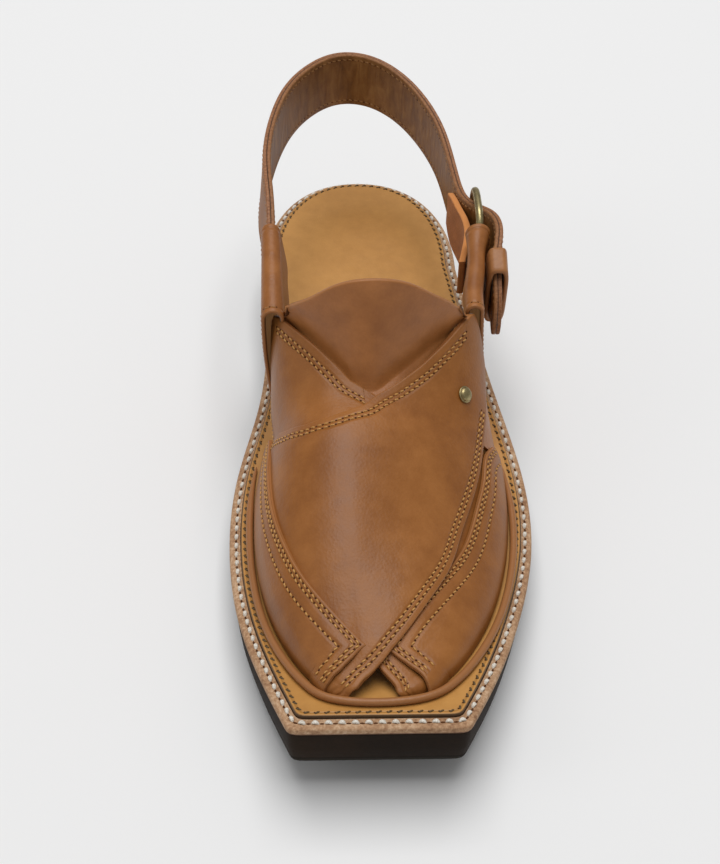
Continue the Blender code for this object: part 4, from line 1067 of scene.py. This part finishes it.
def build_tongue(finish):
    """It leaves the panels along their rear edges and rises in a curve to its arched top."""
    share = graded(70, 110, start=True)[0]
    s, y, *top = between(TONGUE_ROWS, share)
    top = np.column_stack(top)
    hidden, edge = on_last(s, y - TONGUE_HIDDEN, TONGUE_LIFT), on_last(s, y, TONGUE_LIFT)
    rise = edge + (edge - hidden) * 0.5
    sides = np.outer(np.sign(share - 0.5) * climb(np.abs(share - 0.5), *SHOULDER), TONGUE_SIDES)
    grid = np.array([hidden + (edge - hidden) * u for u in (0, 0.25, 0.5, 0.75)] + [
        (1 - u) ** 2 * edge + 2 * u * (1 - u) * rise + u ** 2 * top + sides * 4 * u * (1 - u)
        for u in graded(34, 45)[0]])
    inner = grid - grid_normals(grid, (0, -1, 0.4)) * TONGUE
    cut = nearest(grid, grid[-1], grid[:, 0], grid[:, -1])
    shell("tongue_leather", grid, inner, cut, finish, None, ["tongue"], both=True)


# ---- the ears
def ear_grid(table, side, wave):
    """Outer face of an ear: rows from front to rear, each from its foot over the roll to its flap."""
    along = graded(44, 42, start=True)[0]
    share = np.linspace(0, 1, len(table))
    foot_y, roll_y, foot_x, foot_z, mid_x, roll_x, roll_z, radius, flap_x, flap_z = (
        spline(share, column, along) for column in columns(table))
    far = side * (radius + EAR / 2)
    bow = mid_x - (foot_x + roll_x + far) / 2
    lines = [(foot_x + (roll_x + far - foot_x) * u + bow * 4 * u * (1 - u), foot_y + (roll_y - foot_y) * u,
              foot_z + (roll_z - foot_z) * u) for u in np.linspace(0, 1, EAR_POINTS, endpoint=False)]
    lines += [(roll_x + far * math.cos(angle), roll_y, roll_z + side * far * math.sin(angle))
              for angle in np.linspace(0, math.pi, EAR_POINTS)]
    for v in graded(9, 8)[0][1:]:
        swing = wave * np.sin(along * 2 * math.pi * EAR_WAVES) * v
        x = roll_x - far + (flap_x - roll_x + far) * v - side * (abs(wave) * v - swing / 2)
        lines.append((x, roll_y + 2 * v, roll_z + (flap_z - roll_z) * v + swing))
    return np.array(lines).transpose(2, 0, 1)


def build_ear(name, table, side, wave, finish, node):
    """Returns the lines of its stitches, each with the normals along it."""
    grid = ear_grid(table, side, wave)
    top = EAR_POINTS + EAR_POINTS // 2
    normal = grid_normals(grid, (0, 0, 1), slice(top, top + 1))
    ends = nearest(grid, grid[0], grid[-1])
    cut = np.minimum(ends, distance_to(grid, grid[:, -1]))
    shell(name, grid, grid - normal * EAR, cut, finish, seam_scale(ends, (EAR_ROW,)), [node], both=True)
    runs = []
    for order, last in ((slice(None), 36), (slice(None, None, -1), 24)):
        line, up = (np.vstack([read_along(lengths(grid[order, j]), part[order, j], [EAR_ROW])
                               for j in range(1, last)]) for part in (grid, normal))
        runs.append((line, unit(up)))
    return runs


# ---- heel strap, buckle, keeper, stud
def strap_line(count=300, tip=7):
    """Middle line of the heel strap, its outward direction, its height and its lean. The tip is rounded."""
    data = columns(HEEL_STRAP)
    way = lengths(np.column_stack(data[:2]))
    along = way[-1] * (1 - (1 - np.linspace(0, 1, count)) ** 1.15)      # closer together at the tip
    x, y, z, height, lean = (spline(way, column, along) for column in data)
    tangent = unit(np.column_stack((np.gradient(x), np.gradient(y))))
    out = np.column_stack((-tangent[:, 1], tangent[:, 0], np.zeros(count)))
    left = np.clip((way[-1] - along) / tip, 0.004, 1)
    return along, np.column_stack((x, y, z)), out, height * (1 - (1 - left) ** 2.6) ** (1 / 2.6), lean


def build_strap(finish):
    """Returns the lines of its stitches: along both edges, on the outer face and on the lining."""
    along, middle, out, height, lean = strap_line()
    half, r = STRAP / 2, STRAP_ROUND
    arris = [(half - r * (1 - math.cos(a)), r * (1 - math.sin(a))) for a in np.radians((30, 60, 90))]
    groove = ((0.3, 0.02, 0.3), (0.12, 0.3, 0.1), (-0.12, 0.3, -0.1), (-0.3, 0.02, -0.3))
    section = []        # across, up from the middle as a share, millimetres from the edge, depth, rim
    for turn in (1, -1):
        section += [(turn * half, turn * share, r, turn, 0) for share in np.linspace(-1, 1, 15)]
        section += [(turn * x, turn, short, 0.8 * turn, 0.8 + 0.2 * turn) for x, short in arris]
        section += [(turn * x, turn, short, turn * depth, 1) for x, short, depth in groove]
        section += [(-turn * x, turn, short, -0.8 * turn, 0.8 - 0.2 * turn) for x, short in arris[::-1]]
    rings = []
    for across, share, short, _, _ in section:
        up = share * (height / 2 - short)
        slide = across - up / np.maximum(height, 1) * lean
        rings.append(middle + out * slide[:, None] + np.outer(up, (0, 0, 1)))
    points = np.array(rings).transpose(1, 0, 2)
    faces = [face[::-1] for face in grid_faces(*points.shape[:2], closed=True, ends="capped")]
    depth, rim = np.array(section)[:, 3:].T
    values = {"depth": np.tile(depth, len(points)), "rim": np.tile(rim, len(points))}
    make_object("heel_strap_leather", points, faces, finish, "upper_leather", values, 60, ["heel_strap"])
    runs = []
    keep = (height > 12) & (along < along[-1] - 3)
    for share, face in ((1, 1), (1, -1), (-1, 1), (-1, -1)):
        up = share * (height / 2 - STRAP_ROW)
        line = middle + out * (face * half - up / height * lean)[:, None] + np.outer(up, (0, 0, 1))
        runs.append((line[keep], (out * face)[keep]))
    return runs


def in_buckle_plane(along, up, out=0):
    """Points of the buckle: along the shoe towards the heel, up, and out from its plane."""
    sin, cos = math.sin(BUCKLE_TURN), math.cos(BUCKLE_TURN)
    x, y, z = BUCKLE_CENTRE
    points = np.broadcast_arrays(x - along * sin + out * cos, y + along * cos + out * sin, z + up)
    return np.stack(points, axis=-1)


def build_buckle(brass, suede):
    half_y, half_z = BUCKLE_HALF
    along, up = squared(turns(120), 2 / 3.2)
    path = in_buckle_plane(half_y * along, half_z * up)
    path = resampled(np.vstack((path, path[:1])), 121)[:-1]
    tube("buckle_ring", path, BUCKLE_WIRE, brass, "antique_brass", 18, ["buckle_frame"], True, (1, 0, 0))
    clear = BUCKLE_WIRE + PRONG_RADIUS + GAP
    knots = in_buckle_plane(np.array((-half_y + clear, -half_y + 8, 4, half_y - 2, half_y + 2.5)), 0,
                            np.array((0, 0.4, clear - 0.6, clear, clear - 0.4)))
    way = lengths(knots)
    pin = np.column_stack([spline(way, column, np.linspace(0, way[-1], 40)) for column in knots.T])
    tube("buckle_pin", pin, PRONG_RADIUS, brass, "antique_brass", 14, ["buckle_prong"])
    fine = graded(50, 42, start=True)[0] * (BUCKLE_TAB[-1][0] - BUCKLE_TAB[0][0]) + BUCKLE_TAB[0][0]
    x, low, high = between(BUCKLE_TAB, fine)
    up = graded(24, 22, start=True)[0]
    face = np.stack([np.column_stack((x, fine, low + (high - low) * v)) for v in up], axis=1)
    outer, inner = face + (TAB / 2, 0, 0), face - (TAB / 2, 0, 0)
    cut = nearest(outer, outer[0], outer[-1], outer[:, 0], outer[:, -1])
    shell("suede_tab", outer, inner, cut, suede, None, ["buckle_tab"], both=True, slot="suede")


def build_keeper(finish):
    (front, rear), (mid_x, mid_z), (half_x, half_z) = KEEPER_Y, KEEPER_CENTRE, KEEPER_HALF
    across, high = squared(turns(96), 0.45)
    share = np.linspace(0, 1, 8)
    # Share of the wall's thickness, share of the way from the front edge to the rear edge
    section = [*((0, t) for t in share), (0.25, 1.035), (0.5, 1.05), (0.8, 1.03),
               *((1, t) for t in share[::-1]), (0.8, -0.03), (0.5, -0.05), (0.25, -0.035)]
    loops = []
    for wall, end in section:
        up = (half_z + wall * KEEPER) * high
        y = front + (rear - front) * (KEEPER_INSET + (1 - 2 * KEEPER_INSET) * end) + KEEPER_LEAN * up
        z = mid_z + up + KEEPER_RUN * (y - (front + rear) / 2)
        loops.append(np.column_stack((mid_x + (half_x + wall * KEEPER) * across, y, z)))
    grid = np.array(loops).transpose(1, 0, 2)
    away = np.array([min(end, 1 - end) * (rear - front) for _, end in section]).clip(0)
    seam, inner = np.interp(away, (0, 1.6, 5), (0, 1, 3)), [wall == 0 for wall, _ in section]
    values = {key: np.tile(data, len(grid)) for key, data in (("edge", away), ("seam", seam), ("inner", inner))}
    faces = grid_faces(*grid.shape[:2], closed=True, ends="joined")
    make_object("strap_keeper", grid, faces, finish, "upper_leather", values, 60, ["keeper"])


def build_stud(brass):
    lift = OVER_LIFT + OVER_PANEL + GAP
    foot = on_last(*STUD_PLACE, lift)
    normal = unit(on_last(*STUD_PLACE, lift + 1) - foot)
    side = unit(np.cross(normal, (0, 0, 1)))
    up = np.cross(normal, side)
    angle = turns(40)
    circle = np.outer(np.cos(angle), side) + np.outer(np.sin(angle), up)
    rings = [foot + STUD_RADIUS * radius * circle + normal * height for radius, height in STUD_PROFILE]
    faces = grid_faces(len(rings), len(angle), closed=True, ends="capped")
    make_object("dome_stud", np.concatenate(rings), faces, brass, "antique_brass", None, 50, ["stud"])


# ---- thread
def spaced(runs, pitch, shift=0):
    """Middles of stitches along lines of points with normals, with the line's direction and normal there."""
    parts = []
    for line, normal in runs:
        way = lengths(line)
        count = max(int(round(way[-1] / pitch)), 1)
        at = (np.arange(count) + 0.5 + shift) * way[-1] / count
        grids = line, unit(np.gradient(line, axis=0)), normal
        middle, along, up = (read_along(way, grid, at) for grid in grids)
        parts.append((middle, unit(along), unit(up)))
    return [np.concatenate(part) for part in zip(*parts)]


def repeated(name, points, one, finish, slot):
    """One piece made of many small ones. points holds each of their points for all of them, one their faces."""
    points = np.array(points).transpose(1, 0, 2)
    count, size = points.shape[:2]
    faces = [[start + k for k in face] for start in range(0, count * size, size) for face in one]
    make_object(name, points, faces, finish, slot)


def sew(name, runs, pitch, half_length, width, high, sink, slant, aside, sides, finish, slot):
    """Short arched threads along lines of points with normals."""
    middle, along, up = spaced(runs, pitch)
    side = unit(np.cross(up, along))
    middle = middle + side * aside
    cos, sin = math.cos(slant), math.sin(slant)
    along, side = along * cos + side * sin, side * cos - along * sin
    rings = []
    for u, thick in THREAD:
        centre = middle + along * u * half_length + up * (high * (1 - u * u) - sink)
        rings += [centre + side * math.cos(a) * width * thick / 2 + up * math.sin(a) * width * thick * 0.42
                  for a in turns(sides)]
    repeated(name, rings, grid_faces(len(THREAD), sides, closed=True, ends="capped"), finish, slot)


def pierce(name, runs, pitch, radius, rise, shift, finish, slot, sides=8):
    """Small dark lenses set into the leather between the stitches: painted shade where the needle holes are."""
    middle, along, up = spaced(runs, pitch, shift)
    side = np.cross(up, along)
    points = [middle + (along * math.cos(a) + side * math.sin(a)) * radius for a in turns(sides)]
    points = [middle + up * rise, *points, middle - up * 0.3]
    rim = [(1 + k, 1 + (k + 1) % sides) for k in range(sides)]
    one = [(0, a, b) for a, b in rim] + [(sides + 1, b, a) for a, b in rim]
    repeated(name, points, one, finish, slot)


def on_sole(inset, height):
    """A line round the sole with its normals, for the welt's and the footbed's stitches."""
    loop = sole_loop(inset)
    loop = np.vstack((loop, loop[:1]))
    slope = (rubber_top(loop[:, 1] + 1) - rubber_top(loop[:, 1] - 1)) / 2
    return (np.column_stack((loop, rubber_top(loop[:, 1]) + height)),
            unit(np.column_stack((0 * slope, -slope, np.ones(len(slope))))))


def build_rand(finish):
    """The cord round the foot of the upper. Its ends are thin and lie low."""
    tip = FEATHER[0][0] + RAND_RADIUS
    side = tip + (RAND_END - tip) * np.linspace(0, 1, 120) ** 2
    medial, lateral = feather(side, RAND_RADIUS * 0.75, RAND_RADIUS)
    y = np.concatenate((side[::-1], side[1:]))
    x = np.concatenate((-medial[::-1], lateral[1:]))
    path = resampled(np.column_stack((x, y, footbed_top(y) + GAP + RAND_RADIUS)), 240)
    way = lengths(path)
    slim = climb(np.minimum(way, way[-1] - way), 0, RAND_TAPER)
    tube("rand_cord", path - np.outer(1 - slim, (0, 0, 0.6)), RAND_RADIUS * (0.5 + 0.5 * slim), finish,
         "upper_leather", 16, ["rand"])


# ---- everything in place
def build_all():
    tones = ((0.235, 0.08, 0.015), (0.29, 0.104, 0.021), (0.345, 0.13, 0.029))
    leather = upper_leather("upper_finish", *tones, (1, 2))
    overlay = upper_leather("overlay_finish", *tones, (1, 2, 3))
    plain, sleeve, cord, band = (upper_leather(name + "_finish", *rest) for name, *rest in (
        # The tongue's tones are the upper leather's made about a third lighter: painted light, because it faces
        # forward and gets less of the overhead lamp. The quarter piece shares them.
        ("tongue", (0.32, 0.116, 0.03), (0.4, 0.152, 0.042), (0.48, 0.19, 0.056), (), 0.4),
        ("sleeve", (0.255, 0.088, 0.02), (0.33, 0.122, 0.03), (0.405, 0.16, 0.045), (1,)),
        ("rand", (0.15, 0.056, 0.014), (0.195, 0.074, 0.019), (0.245, 0.096, 0.027), (), 0.4),
        ("keeper", (0.3, 0.118, 0.036), (0.4, 0.172, 0.058), (0.49, 0.225, 0.085))))
    brass, suede = brass_finish(), suede_finish()
    # Needle holes: painted shade, dark brown lenses standing for the holes and the shadow inside them.
    holes = plain_finish("needle_hole_shadow_finish", 0.9, 0.1, 0.6, 2, (0.3, (0.07, 0.024, 0.008)),
                         (0.7, (0.11, 0.04, 0.014)), 0)
    threads = [plain_finish(name + "_thread_finish", roughness, 0.5, 0.35, 2, (0.35, dark), (0.6, light), 0.06)
               for name, roughness, light, dark in (
                   ("golden", 0.5, (0.6, 0.32, 0.085), (0.38, 0.17, 0.04)),
                   ("tan", 0.5, (0.42, 0.2, 0.06), (0.26, 0.11, 0.03)),
                   ("white", 0.6, (0.86, 0.82, 0.74), (0.52, 0.45, 0.36)),
                   ("brown", 0.7, (0.13, 0.078, 0.026), (0.055, 0.032, 0.012)))]
    build_sole(rubber_finish(), welt_finish(), footbed_finish())
    build_rand(cord)
    rows = build_upper(leather, overlay)
    upper = [(surface(*line), surface_normal(surface, *line)) for surface, line in rows]
    build_quarter(plain)
    build_tongue(plain)
    fine = build_ear("sleeve_medial", MEDIAL_EAR, -1, 0.7, sleeve, "ear_medial")
    fine += build_ear("sleeve_lateral", LATERAL_EAR, 1, 0, sleeve, "ear_lateral")
    fine += build_strap(strap_finish())
    build_buckle(brass, suede)
    build_keeper(band)
    build_stud(brass)
    welt = [on_sole(WELT_ROW, MIDSOLE_Z[1] + 0.36)]
    bed = [on_sole(FOOTBED_INSET + FOOTBED_ROW, FOOTBED_Z[1])]
    for (name, pitch, stitch, hole, slot), runs, thread in zip(STITCHES, (upper, fine, welt, bed), threads):
        sew(name + "_thread", runs, pitch, *stitch, thread, slot)
        pierce(name + "_needle_hole_shadows", runs, pitch, *hole, holes, slot)


build_all()


# ---- floor, light and camera
def soft_light(name, spot, size, power, aim):
    lamp = bpy.data.lights.new(name, "AREA")
    lamp.shape = "RECTANGLE"
    lamp.size, lamp.size_y = size
    lamp.energy = power
    obj = add(name, lamp)
    obj.location = spot
    obj.rotation_euler = (Vector(aim) - Vector(spot)).to_track_quat("-Z", "Y").to_euler()


def build_floor():
    f = Finish("floor_finish", 0.9, 0.1)
    f.set(Base_Color=(0.86, 0.86, 0.86, 1))
    steps = np.linspace(-3, 3, 13)
    mesh = bpy.data.meshes.new("floor")
    points = [(x, y, 0.0) for x in steps for y in steps]
    mesh.from_pydata(points, [], [face[::-1] for face in grid_faces(13, 13)])
    mesh.materials.append(f.material)
    add("floor", mesh)


def light_scene():
    world = bpy.data.worlds.new("studio")
    bpy.context.scene.world = world
    world.use_nodes = True
    background = world.node_tree.nodes["Background"]
    background.inputs["Color"].default_value = (1, 1, 1, 1)
    background.inputs["Strength"].default_value = WORLD_LIGHT
    soft_light("overhead_softbox", (0, 0.45, 3), (1.9, 2.6), OVERHEAD_POWER, (0, 0, 0))
    soft_light("left_softbox", (-3.2, -0.6, 1.8), (1.4, 2.4), SIDE_POWER, (0, 0, 0.03))
    bpy.context.scene.view_settings.view_transform = "Standard"


def place_camera():
    """The photographed view: the same place, turned from its own aim onto the one shoe, with the same roll."""
    data = bpy.data.cameras.new("camera")
    camera = bpy.context.scene.camera = add("camera", data)
    spot, old, aim = (Vector(to_metres(point)) for point in (CAMERA_PLACE, PHOTO_AIM, CAMERA_AIM))
    photo = (old - spot).to_track_quat("-Z", "Y").to_matrix().to_4x4() @ Matrix.Rotation(CAMERA_ROLL, 4, "Z")
    turn = (old - spot).rotation_difference(aim - spot).to_matrix().to_4x4()
    camera.matrix_world = Matrix.Translation(spot) @ turn @ photo
    data.sensor_fit = "VERTICAL"
    data.sensor_height = 24
    data.lens = 24 * CAMERA_FOCAL
    data.clip_start = 0.01


build_floor()
light_scene()
place_camera()

bpy.context.view_layer.update()
